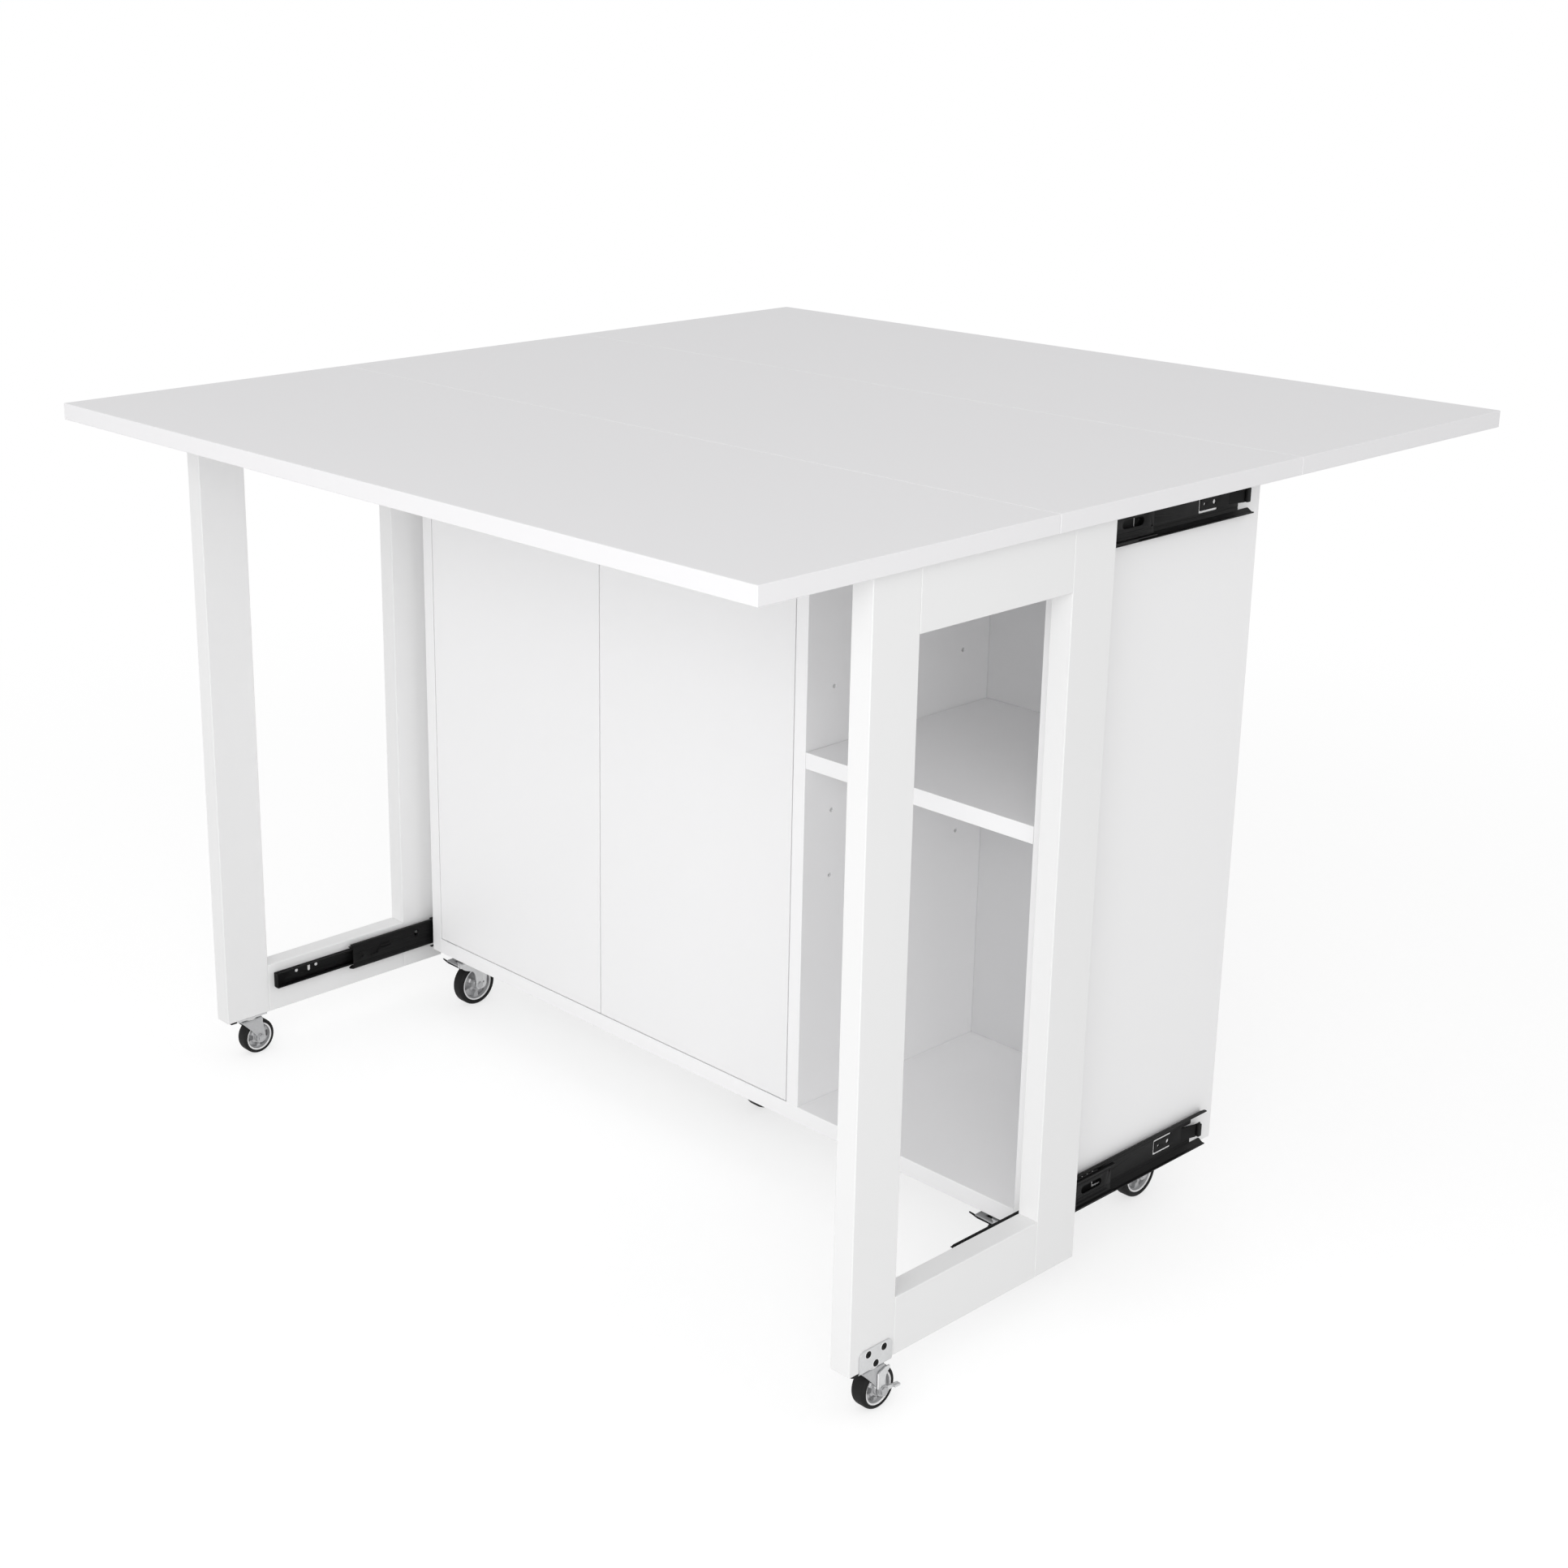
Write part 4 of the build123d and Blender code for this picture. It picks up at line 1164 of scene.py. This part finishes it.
@dataclass
class Pedal:
    """The brake pedal of the front left cabinet caster and the tongue with ears that carries it."""

    fork: Fork
    low: Vector
    high: Vector
    barrel: float = 2.6
    pin: float = 1.5
    pin_play: float = 0.06
    sheet: float = 2.0
    blade_sheet: float = 1.6
    wing_sheet: float = 1.5
    ear: float = 1.6
    slot_place: float = 14.0
    slot_length: float = 11.0
    swoop: tuple = (
        (-44.2, 64.7), (-42.5, 62.6), (-39.7, 60.6), (-35.5, 58.7), (-30.4, 56.8), (-26.0, 55.0),
        (-23.4, 52.6), (-21.2, 49.6), (-19.9, 46.5), (-18.4, 40.0), (-17.4, 34.0), (-17.2, 30.0),
        (-16.2, 26.8), (-13.6, 24.8), (-9.0, 24.1), (-5.0, 24.6), (-1.6, 26.8), (0.2, 30.0),
        (0.6, 36.0), (1.5, 44.0),
    )

    @property
    def pivot(self) -> tuple:
        """The place of the pedal's pivot across the caster and its height."""
        return self.high.x - self.barrel, (self.low.z + self.high.z) / 2

    def pedal(self) -> Piece:
        """The pedal with its slot, its turned-down end, its barrel, and the dark blade and pad below.

        Returns:
            The pedal.
        """
        low, high, (pivot_x, pivot_z) = self.low, self.high, self.pivot
        width, base = high.y - low.y, low.z + self.sheet / 2
        section = folded([(pivot_x, base), (low.x + 11, base), (low.x + 8.4, low.z + 2.2)], 2.4)
        name = "front_left_pedal_look"
        piece = plate(name, ALONG, low.y, ribbon(section, self.sheet), width)
        rounded(piece, lambda v: v.x < low.x + 10 and min(v.y - low.y, high.y - v.y) < 0.5, 1.2, 4)
        slot_x, half, middle = pivot_x - self.slot_place, self.slot_length / 2, (low.y + high.y) / 2
        slot = box("slot", (slot_x - half, middle - 2.5, low.z - 2), (slot_x + half, middle + 4.0, low.z + 6))
        carve(piece, rounded(slot, lambda v: True, 0.9, 3))
        PEDAL_GREY.coat(piece, 0.25)
        tube = rod("barrel", (pivot_x, low.y, pivot_z), ALONG, self.barrel, width)
        drill(tube, (pivot_x, low.y - PAST, pivot_z), ALONG, self.pin + self.pin_play, 40, 48)
        PEDAL_GREY.coat(tube, 0.2)
        edge = [
            (low.x, low.z + 2.2), (low.x, base), (low.x + 12, low.z - 1.6), (pivot_x + 1.0, low.z - 1.6),
            (pivot_x + 1.0, low.z + 0.5), (low.x + 9, low.z + 1.6),
        ]
        blade = plate("blade", ALONG, low.y, edge, self.blade_sheet)
        SCREW_BLACK.coat(blade, 0.3)
        pad = box("pad", (low.x + 12, low.y + 4.0, low.z - 1.1), (pivot_x - 3.0, high.y - 4.0, low.z + 0.1))
        return joined(name, [piece, tube, blade, SCREW_BLACK.coat(pad, 0.3)])

    def carrier(self) -> Piece:
        """The tongue in front of the crown, with an ear at each end of the pedal and its pin.

        Returns:
            The carrier, with the sheet beside the pedal.
        """
        pivot_x, pivot_z = self.pivot
        top, half, end = self.fork.crown_top, 2 * self.barrel, self.barrel
        front, rear = self.low.y - self.ear, self.high.y + self.ear
        crown_front = self.fork.axis[1] - self.fork.half_depth
        name = "front_left_ears_look"
        tongue = box(name, (pivot_x - half, front, top - self.fork.sheet),
                     (pivot_x + half, crown_front + 1.5, top))
        rounded(tongue, lambda v: abs(v.y - front) < 0.1, 1.6, 4)
        parts = [ZINC.coat(tongue, 0.3)]
        side_view = [(-end, top - 0.6), (end, top - 0.6), *arc((0, pivot_z), end, 0, -180, 12)]
        for y in (front + 0.05, rear - self.ear + 0.05):
            ear = plate("ear", ALONG, y, [(pivot_x + a, z) for a, z in side_view], self.ear - 0.1)
            parts.append(ZINC.coat(ear, 0.25))
        pin = rod("pin", (pivot_x, front - 0.5, pivot_z), ALONG, self.pin, rear - front + 1.0, 24)
        return joined(name, [*parts, BOLT_BRIGHT.coat(pin, 0.3), self._wing()])

    def _wing(self) -> Piece:
        """The sheet beside the pedal that swoops back and down into a broad leg.

        Returns:
            The sheet.
        """
        front, top = self.low.y - self.ear, self.fork.crown_top
        axle_y, axle_z = self.fork.wheel.centre.y, self.fork.wheel.centre.z
        axis_y, reach = self.fork.axis[1], self.fork.sheet / 2 + 0.7
        leg, x = self.fork.axis[0] + self.fork.leg_middle + reach, self.high.x + 1.0
        path = folded([(x, front), (x, axis_y - 26), (leg, axis_y - 17), (leg, axis_y + 1)], 4.0)
        low = axle_z - 6
        wing = plate("wing", UPRIGHT, low, ribbon(path, self.wing_sheet), top - low)
        edge = [
            (front - PAST, top + PAST), (front - PAST, self.swoop[0][1]),
            *[(axis_y + a, z) for a, z in self.swoop], (axis_y + 1.5, top + PAST),
        ]
        carve(wing, plate("trim", ACROSS, x - 20, edge, 40), Carve.KEEP)
        drill(wing, (leg - 4, axle_y, axle_z), ACROSS, AXLE_HOLE, 8)
        drill(wing, (leg - 4, axis_y - 5.2, axle_z + 3.4), ACROSS, 1.3, 8, 24)
        drill(wing, (leg + 1.3, axis_y - 6.4, axle_z + 8), (0, 0.06, 1), 0.9, top - axle_z - 10, 12)
        return ZINC_SATIN.coat(wing, 0.25)


# Slides between the cabinet ends and the gates

@dataclass
class SlideWork:
    """The black ball-bearing slides, drawn for the lower right place and copied to the other three.

    Places across a slide are given as its distance out from the cabinet end and its height over
    the slide's middle line.
    """

    sheet: float = 1.2
    bend: float = 1.4
    edge: float = 0.18
    smooth_angle: float = 30.0
    outer_half: float = 21.05
    outer_corners: tuple = (
        (9.1, 20.45), (5.9, 20.45), (0.6, 16.9), (0.6, -16.9), (5.9, -20.45), (9.1, -20.45),
    )
    mid_corners: tuple = (
        (12.5, 16.45), (7.9, 16.45), (6.6, 14.2), (6.6, -14.2), (7.9, -16.45), (12.5, -16.45),
    )
    inner_corners: tuple = ((8.6, 9.8), (16.9, 9.8), (16.9, -9.8), (8.6, -9.8))
    tab_start: float = 219.2
    tab_length: float = 33.0
    tab_half: float = 9.3
    tab_cut: float = 2.6
    tab_lift: float = 1.0
    tab_holes: tuple = ((229.1, 1.7), (246.1, 2.6))
    latch_start: float = 108.0
    latch_length: float = 15.5
    latch_half: float = 7.8
    latch_cut: float = 2.8
    latch_hole: tuple = (9.5, -0.4, 0.9)
    window_start: float = 272.0
    notch_start: float = 289.3
    notch_half: float = 16.6
    outer_groove: tuple = (2.0, 13.4, 1.1)
    arm_foot: float = 3.0
    arm_slope: float = 20.0
    arm_end: float = 29.0
    arm_bend: float = 5.0
    arm_rise: float = 5.2
    arm_half: float = 7.8
    arm_play: float = 0.3
    bumper_place: float = 24.5
    bumper_half: float = 3.0
    bumper_depth: float = 3.6
    slot_start: float = 212.7
    slot_length: float = 35.4
    slot_half: float = 4.7
    mid_hole: float = 106.3
    mid_hole_lift: float = 5.9
    mid_grooves: tuple = ((8.0, 9.5), (8.0, -9.5), (5.2, -8.4), (5.2, -10.6), (5.2, 6.0))
    mid_groove: float = 1.3
    mid_cup: tuple = ((6.9, 0.0), (6.9, 6.0), (8.4, 4.2), (8.4, 0.0))
    mid_sink: tuple = ((5.9, 0.0), (5.9, 5.2), (7.8, 3.2), (8.9, 3.2), (8.9, 0.0))
    lever_path: tuple = ((29, -3.8), (40, -3.8), (40, 1.5), (62, 1.5), (62, 5.8), (44, 5.8))
    lever_width: float = 2.6
    stop: tuple = (9.5, 13.5, 5.0, 10)
    stop_hollow: tuple = (9.0, 12.5, 2.4, 8)
    end_hole: tuple = (3.5, 7.5, 1.3)
    hook: tuple = ((7.0, 15.6), (-3.6, 15.6), (-4.2, 14.9), (-0.6, 12.6), (7.0, 12.2))
    hook_out: float = 7.0
    hook_depth: float = 4.6
    inner_holes: tuple = (35.0, 66.1, 232.4)
    inner_sink: tuple = ((18.5, 0.0), (18.5, 2.4), (17.1, 2.4), (16.2, 3.6), (16.2, 0.0))
    inner_lift: float = 3.0
    inner_slot: tuple = (54.4, 5.8, 2.4)
    inner_groove: tuple = (12.6, 11.8, 2.0)
    fold: tuple = (9.2, 17.2, 10.0)
    cage_length: float = 98.0
    cage_inset: float = 8.0
    cage_sheet: float = 2.6
    cage_play: float = 0.3
    ball_pitch: float = 9.0
    first_ball: float = 8.0

    def __post_init__(self) -> None:
        """Reads the slides' places from the frame."""
        low, high = span("slide_outers")
        self.face = span("right_side")[1].x
        self.low_z, self.high_z = low.z + self.outer_half, high.z - self.outer_half
        self.outer_y = (low.y, high.y)
        self.mid_y = tuple(corner.y for corner in span("right_slide_mids"))
        self.inner_y = tuple(corner.y for corner in span("right_slide_inners"))

    def build(self) -> None:
        """Builds one slide and copies it up and to the other end."""
        jobs = (
            (self._outer(), "cabinet", "slide_outers", "black_steel"),
            (self._bumper(), "cabinet", "slide_bumpers", "bumper_rubber"),
            (self._mid(), "{side}_slide_mids", "{side}_slide_mids", "black_steel"),
            (self._cages(), "{side}_slide_mids", "{side}_slide_mids", "zinc_steel"),
            (self._inner(), "{side}_gate", "{side}_slide_inners", "black_steel"),
        )
        over = (0, 0, -(self.low_z + self.high_z))
        for piece, body, node, slot in jobs:
            part = piece.name.removeprefix("right_lower_")
            upper = copied(piece, f"right_upper_{part}", over, Mirror.UPSIDE_DOWN)
            for level, made in (("lower", piece), ("upper", upper)):
                mirrored = copied(made, f"left_{level}_{part}", mirror=Mirror.SIDEWAYS)
                for side, member in (("right", made), ("left", mirrored)):
                    seat(member, body.format(side=side), (node.format(side=side),))

    def _at(self, out: float, y: float, up: float) -> tuple:
        """A point of the lower right slide from its place across and along the slide."""
        return (self.face + out, y, self.low_z + up)

    def _channel(self, name: str, corners: tuple, ends: tuple) -> Piece:
        """Bends a channel from sheet and draws it from its front end to its rear end.

        Args:
            name: the channel's name.
            corners: the corners of the middle of its sheet, across the slide.
            ends: the places of its two ends.

        Returns:
            The channel.
        """
        start, end = ends
        section = ribbon(folded(list(corners), self.bend), self.sheet)
        section = [(self.face + out, self.low_z + up) for out, up in section]
        return plate(name, ALONG, start, section, end - start)

    def _press(self, piece: Piece, shape: list, out: float, depth: float, way: Carve = Carve.CUT) -> None:
        """Cuts or raises a flat shape on a web.

        Args:
            piece: the member.
            shape: the shape's corners, as (y, height over the middle) pairs.
            out: the place of the shape's near face.
            depth: how far it goes outward.
            way: whether it is cut or welded on.
        """
        shape = [(y, self.low_z + up) for y, up in shape]
        carve(piece, plate("press", ACROSS, self.face + out, shape, depth), way)

    def _groove(self, piece: Piece, out: float, up: float, ends: tuple, radius: float) -> None:
        """Presses a shallow lengthwise groove into a member."""
        start, end = ends
        drill(piece, self._at(out, start, up), ALONG, radius, end - start, 12)

    def _sink(self, piece: Piece, y: float, up: float, section: tuple, way: Carve = Carve.CUT) -> None:
        """Cuts or raises a round dish whose section is given as (out, radius) pairs."""
        carve(piece, turned("sink", self._at(0, y, up), section), way)

    @staticmethod
    def _slot_points(start: float, end: float, half: float) -> list:
        """A lengthwise slot with round ends, as (y, height) pairs."""
        return arc((start + half, 0), half, 90, 270, 10) + arc((end - half, 0), half, -90, 90, 10)

    def _outer(self) -> Piece:
        """The member on the cabinet end: cut tab with two holes, latch cut, stop window and bent arm.

        Returns:
            The outer member.
        """
        start, end = self.outer_y
        past = (start - PAST, end + PAST)
        piece = self._channel("right_lower_slide_outer", self.outer_corners, self.outer_y)
        a, b = start + self.tab_start, start + self.tab_start + self.tab_length
        half, cut = self.tab_half, self.tab_cut
        upper_end = arc((b - cut / 2, half - cut / 2), cut / 2, -90, 90, 6)
        lower_end = arc((b - cut / 2, cut / 2 - half), cut / 2, -90, 90, 6)
        shape = [
            (a + 1, -half), *lower_end, (a + cut, cut - half), (a + cut, half - cut), *upper_end,
            (a + 1, half), (a, half - 1), (a, 1 - half),
        ]
        self._press(piece, [(y, up + self.tab_lift) for y, up in shape], -PAST, 4)
        for place, radius in self.tab_holes:
            drill(piece, self._at(-PAST, start + place, self.tab_lift), ACROSS, radius, 4)
        c, low, wide = start + self.latch_start, -self.latch_half, self.latch_cut
        d, (along, up, radius) = c + self.latch_length, self.latch_hole
        shape = [(c, low), (d, low), (d, low + wide), (c + wide, low + wide), (c + wide, -low), (c, -low)]
        self._press(piece, shape, -PAST, 4)
        drill(piece, self._at(-PAST, c + along, up), ACROSS, radius, 4, 24)
        w, lance = start + self.window_start, self.arm_half + self.arm_play
        for front, half, depth in ((w, lance, 4), (start + self.notch_start, self.notch_half, 3.1)):
            shape = [(front, -half), (past[1], -half), (past[1], half), (front, half)]
            self._press(piece, shape, -PAST, depth)
        out, up, radius = self.outer_groove
        for level in (-1, 1):
            self._groove(piece, out, level * up, past, radius)
        web, raised = self.sheet / 2, self.sheet / 2 + self.arm_rise
        path = [(web, w - self.arm_foot), (web, w), (raised, w + self.arm_slope), (raised, w + self.arm_end)]
        section = ribbon(folded(path, self.arm_bend), self.sheet)
        section = [(self.face + out, y) for out, y in section]
        arm = plate("arm", UPRIGHT, self.low_z - self.arm_half, section, 2 * self.arm_half)
        carve(piece, arm, Carve.WELD)
        return SLIDE_BLACK.coat(piece, self.edge, self.smooth_angle)

    def _bumper(self) -> Piece:
        """The rubber pad on the end of the bent arm.

        Returns:
            The bumper.
        """
        y = self.outer_y[0] + self.window_start + self.bumper_place
        out, half = self.arm_rise + self.sheet, self.arm_half
        piece = box("right_lower_slide_bumper", self._at(out, y - self.bumper_half, -half),
                    self._at(out + self.bumper_depth, y + self.bumper_half, half))
        rounded(piece, lambda v: v.x > self.face + out + 3 or abs(v.z - self.low_z) > half - 0.1, 1.2, 5)
        return TYRE_BLACK.coat(piece)

    def _mid(self) -> Piece:
        """The intermediate member: long slot, sunk hole, grooves, pressed stop, lever and end clips.

        Returns:
            The intermediate member.
        """
        start, end = self.mid_y
        name = "right_lower_slide_mid"
        piece = self._channel(name, self.mid_corners, self.mid_y)
        slot = start + self.slot_start
        self._press(piece, self._slot_points(slot, slot + self.slot_length, self.slot_half), 5, 4)
        for section, way in ((self.mid_cup, Carve.WELD), (self.mid_sink, Carve.CUT)):
            self._sink(piece, start + self.mid_hole, self.mid_hole_lift, section, way)
        for out, up in self.mid_grooves:
            self._groove(piece, out, up, (start - PAST, end + PAST), self.mid_groove)
        stop, hollow = (4.5, 1.9, Carve.WELD), (4.3, 1.6, Carve.CUT)
        for (flat, middle, half, steps), pressed in ((self.stop, stop), (self.stop_hollow, hollow)):
            rim = arc((start + middle, 0), half, -90, 90, steps)
            self._press(piece, [(start + flat, -half), *rim, (start + flat, half)], *pressed)
        lever = folded([(start + y, up) for y, up in self.lever_path], self.lever_width)
        self._press(piece, ribbon(lever, self.lever_width), 4.3, 2.1, Carve.WELD)
        inset, up, radius = self.end_hole
        drill(piece, self._at(5, end - inset, up), ACROSS, radius, 4, 24)
        parts = [SLIDE_BLACK.coat(piece, self.edge, self.smooth_angle)]
        for level in (-1, 1):
            hook = [(start + y, self.low_z + level * up) for y, up in self.hook]
            clip = plate("clip", ACROSS, self.face + self.hook_out, hook, self.hook_depth)
            parts.append(SCREW_BLACK.coat(clip, 0.25))
        return joined(name, parts)

    def _inner(self) -> Piece:
        """The member on the gate: three screw holes, an upright slot and a folded front end.

        Returns:
            The inner member.
        """
        start, end = self.inner_y
        piece = self._channel("right_lower_slide_inner", self.inner_corners, self.inner_y)
        near, far, half = self.fold
        fold = box("fold", self._at(near, start, -half), self._at(far, start + self.sheet, half))
        carve(piece, ease(fold, 0.3), Carve.WELD)
        for place in self.inner_holes:
            self._sink(piece, start + place, self.inner_lift, self.inner_sink)
        place, reach, half = self.inner_slot
        slot = [(start + place + a, up + self.inner_lift) for up, a in self._slot_points(-reach, reach, half)]
        self._press(piece, slot, 15, 4)
        out, up, radius = self.inner_groove
        for level in (-1, 1):
            self._groove(piece, out, level * up, (start + 6, end + PAST), radius)
        return SLIDE_BLACK.coat(piece, self.edge, self.smooth_angle)

    def _cages(self) -> Piece:
        """The four ball cages of a slide, each a strip with a row of steel balls.

        Returns:
            The cages with their balls.
        """
        runs = (
            (self.outer_y[0] + self.cage_inset, 7.7, 17.2, 19.7, 1.25),
            (self.mid_y[0] + self.cage_inset, 8.8, 10.7, 15.5, 2.35),
        )
        parts, play = [], self.cage_play
        for (start, out, low, high, ball), level in product(runs, (-1, 1)):
            bottom, top = sorted((level * low, level * high))
            strip = box("cage", self._at(out, start, bottom + play),
                        self._at(out + self.cage_sheet, start + self.cage_length, top - play))
            parts.append(SCREW_BLACK.coat(strip, 0.3))
            for k in range(int(self.cage_length / self.ball_pitch)):
                y = start + self.first_ball + k * self.ball_pitch
                place = mm(*self._at(out + self.cage_sheet / 2, y, level * (low + high) / 2))
                deselect_all()
                bpy.ops.mesh.primitive_uv_sphere_add(
                    segments=20, ring_count=12, radius=ball * MM, location=place
                )
                parts.append(BOLT_BRIGHT.coat(settle("ball"), angle=60.0))
        return joined("right_lower_slide_cages", parts)


# The studio

@dataclass
class Lamp:
    """A soft rectangular lamp that points at the island."""

    name: str
    place: tuple
    size: tuple
    power: float
    target: tuple = (0.0, 0.0, 0.5)

    def build(self) -> None:
        """Adds the lamp."""
        data = bpy.data.lights.new(self.name, "AREA")
        data.shape = "RECTANGLE"
        data.size, data.size_y = self.size
        data.energy = self.power
        lamp = bpy.data.objects.new(self.name, data)
        bpy.context.scene.collection.objects.link(lamp)
        lamp.location = self.place
        lamp.rotation_euler = (Vector(self.target) - Vector(self.place)).to_track_quat("-Z", "Y").to_euler()


@dataclass
class Studio:
    """The pale floor, the lamps, the world and the camera."""

    eye: tuple = (1.9430, -1.9773, 1.3828)
    right: tuple = (0.6684, 0.7438, -0.0001)
    up: tuple = (-0.2211, 0.1988, 0.9548)
    back: tuple = (0.7102, -0.6381, 0.2973)
    lens: float = 55.466
    sensor: float = 36.0
    shift: tuple = (0.1001, -0.0500)
    clip: tuple = (0.05, 60.0)
    floor_size: float = 24.0
    floor_colour: tuple = (0.80, 0.80, 0.80, 1)
    floor_roughness: float = 0.9
    floor_shadow: tuple = (0.42, 0.42, 0.42, 1)
    floor_glow: float = 0.66
    sky_light: float = 0.70
    shade_reach: tuple = (1.1, 2.6)
    lamps: list = field(default_factory=lambda: [
        Lamp("front_lamp", (0.4, -4.4, 2.1), (3.0, 1.8), 18.0),
        Lamp("high_key_lamp", (2.8, -3.2, 2.8), (2.6, 2.0), 24.0),
        Lamp("middle_key_lamp", (2.4, -3.9, 2.1), (2.6, 1.8), 26.0),
        Lamp("low_key_lamp", (3.4, -3.6, 1.0), (2.6, 1.8), 30.0),
    ])

    def build(self) -> None:
        """Sets the stage in order."""
        self._floor()
        self._world()
        for lamp in self.lamps:
            lamp.build()
        self._camera()
        bpy.context.scene.view_settings.view_transform = "Standard"

    def _floor(self) -> None:
        """A flat pale floor that is white to the camera except where the island shades it."""
        deselect_all()
        bpy.ops.mesh.primitive_plane_add(size=self.floor_size, location=(0, 0, 0))
        floor = settle("studio_floor")
        paint = bpy.data.materials.new("floor_pale")
        paint.use_nodes = True
        tree = paint.node_tree
        shader = fill(tree, tree.nodes["Principled BSDF"], {
            "Base Color": self.floor_colour, "Roughness": self.floor_roughness,
        })
        shade = added(tree, "BsdfDiffuse", {"Color": self.floor_shadow})
        glow = added(tree, "Emission", {"Strength": self.floor_glow})
        shaded = added(tree, "AddShader", {0: shade.outputs["BSDF"], 1: glow.outputs["Emission"]})
        white = added(tree, "Emission")
        away = added(tree, "VectorMath", {0: added(tree, "TexCoord").outputs["Object"]})
        away.operation = "LENGTH"
        nearest, farthest = self.shade_reach
        fade = added(tree, "MapRange", {
            "From Min": nearest, "From Max": farthest, "Value": away.outputs["Value"],
        })
        fade.interpolation_type = "SMOOTHSTEP"
        seen = added(tree, "MixShader", {
            "Fac": fade.outputs["Result"], 1: shaded.outputs["Shader"], 2: white.outputs["Emission"],
        })
        mix = added(tree, "MixShader", {
            "Fac": self._looked_at(tree), 1: shader.outputs["BSDF"], 2: seen.outputs["Shader"],
        })
        fill(tree, tree.nodes["Material Output"], {"Surface": mix.outputs["Shader"]})
        floor.data.materials.append(paint)

    @staticmethod
    def _looked_at(tree: bpy.types.NodeTree) -> bpy.types.NodeSocket:
        """1 for a ray from the camera or off a shiny surface, and 0 for light that falls on the island.

        Args:
            tree: the shader tree.

        Returns:
            The socket that tells them apart.
        """
        path = added(tree, "LightPath").outputs
        either = added(tree, "Math", {0: path["Is Camera Ray"], 1: path["Is Glossy Ray"]})
        either.operation = "MAXIMUM"
        return either.outputs["Value"]

    def _world(self) -> None:
        """Soft even light on the island, and white where the camera looks past it."""
        world = bpy.data.worlds.new("studio_world")
        bpy.context.scene.world = world
        world.use_nodes = True
        tree = world.node_tree
        white = {"Color": (1, 1, 1, 1)}
        light = fill(tree, tree.nodes["Background"], {**white, "Strength": self.sky_light})
        seen = added(tree, "Background", {**white, "Strength": 1.0})
        mix = added(tree, "MixShader", {
            "Fac": self._looked_at(tree), 1: light.outputs["Background"], 2: seen.outputs["Background"],
        })
        fill(tree, tree.nodes["World Output"], {"Surface": mix.outputs["Shader"]})

    def _camera(self) -> None:
        """The camera at the place and angle of the photograph's."""
        data = bpy.data.cameras.new("studio_camera")
        data.lens = self.lens
        data.sensor_width = self.sensor
        data.shift_x, data.shift_y = self.shift
        data.clip_start, data.clip_end = self.clip
        camera = bpy.data.objects.new("studio_camera", data)
        bpy.context.scene.collection.objects.link(camera)
        axes = Matrix((self.right, self.up, self.back)).transposed()
        camera.matrix_world = Matrix.Translation(self.eye) @ axes.to_4x4()
        bpy.context.scene.camera = camera


def main() -> None:
    """Builds the island's looks and the studio in order, and reports each step."""
    logging.basicConfig(level=logging.INFO, format="%(name)s: %(message)s")
    for assembly in (BoardWork(), SmallMetalwork(), SlideWork(), GateCaster(), CabinetCasters(), Studio()):
        assembly.build()
        LOG.info("%s done", type(assembly).__name__)


if __name__ == "__main__":
    main()
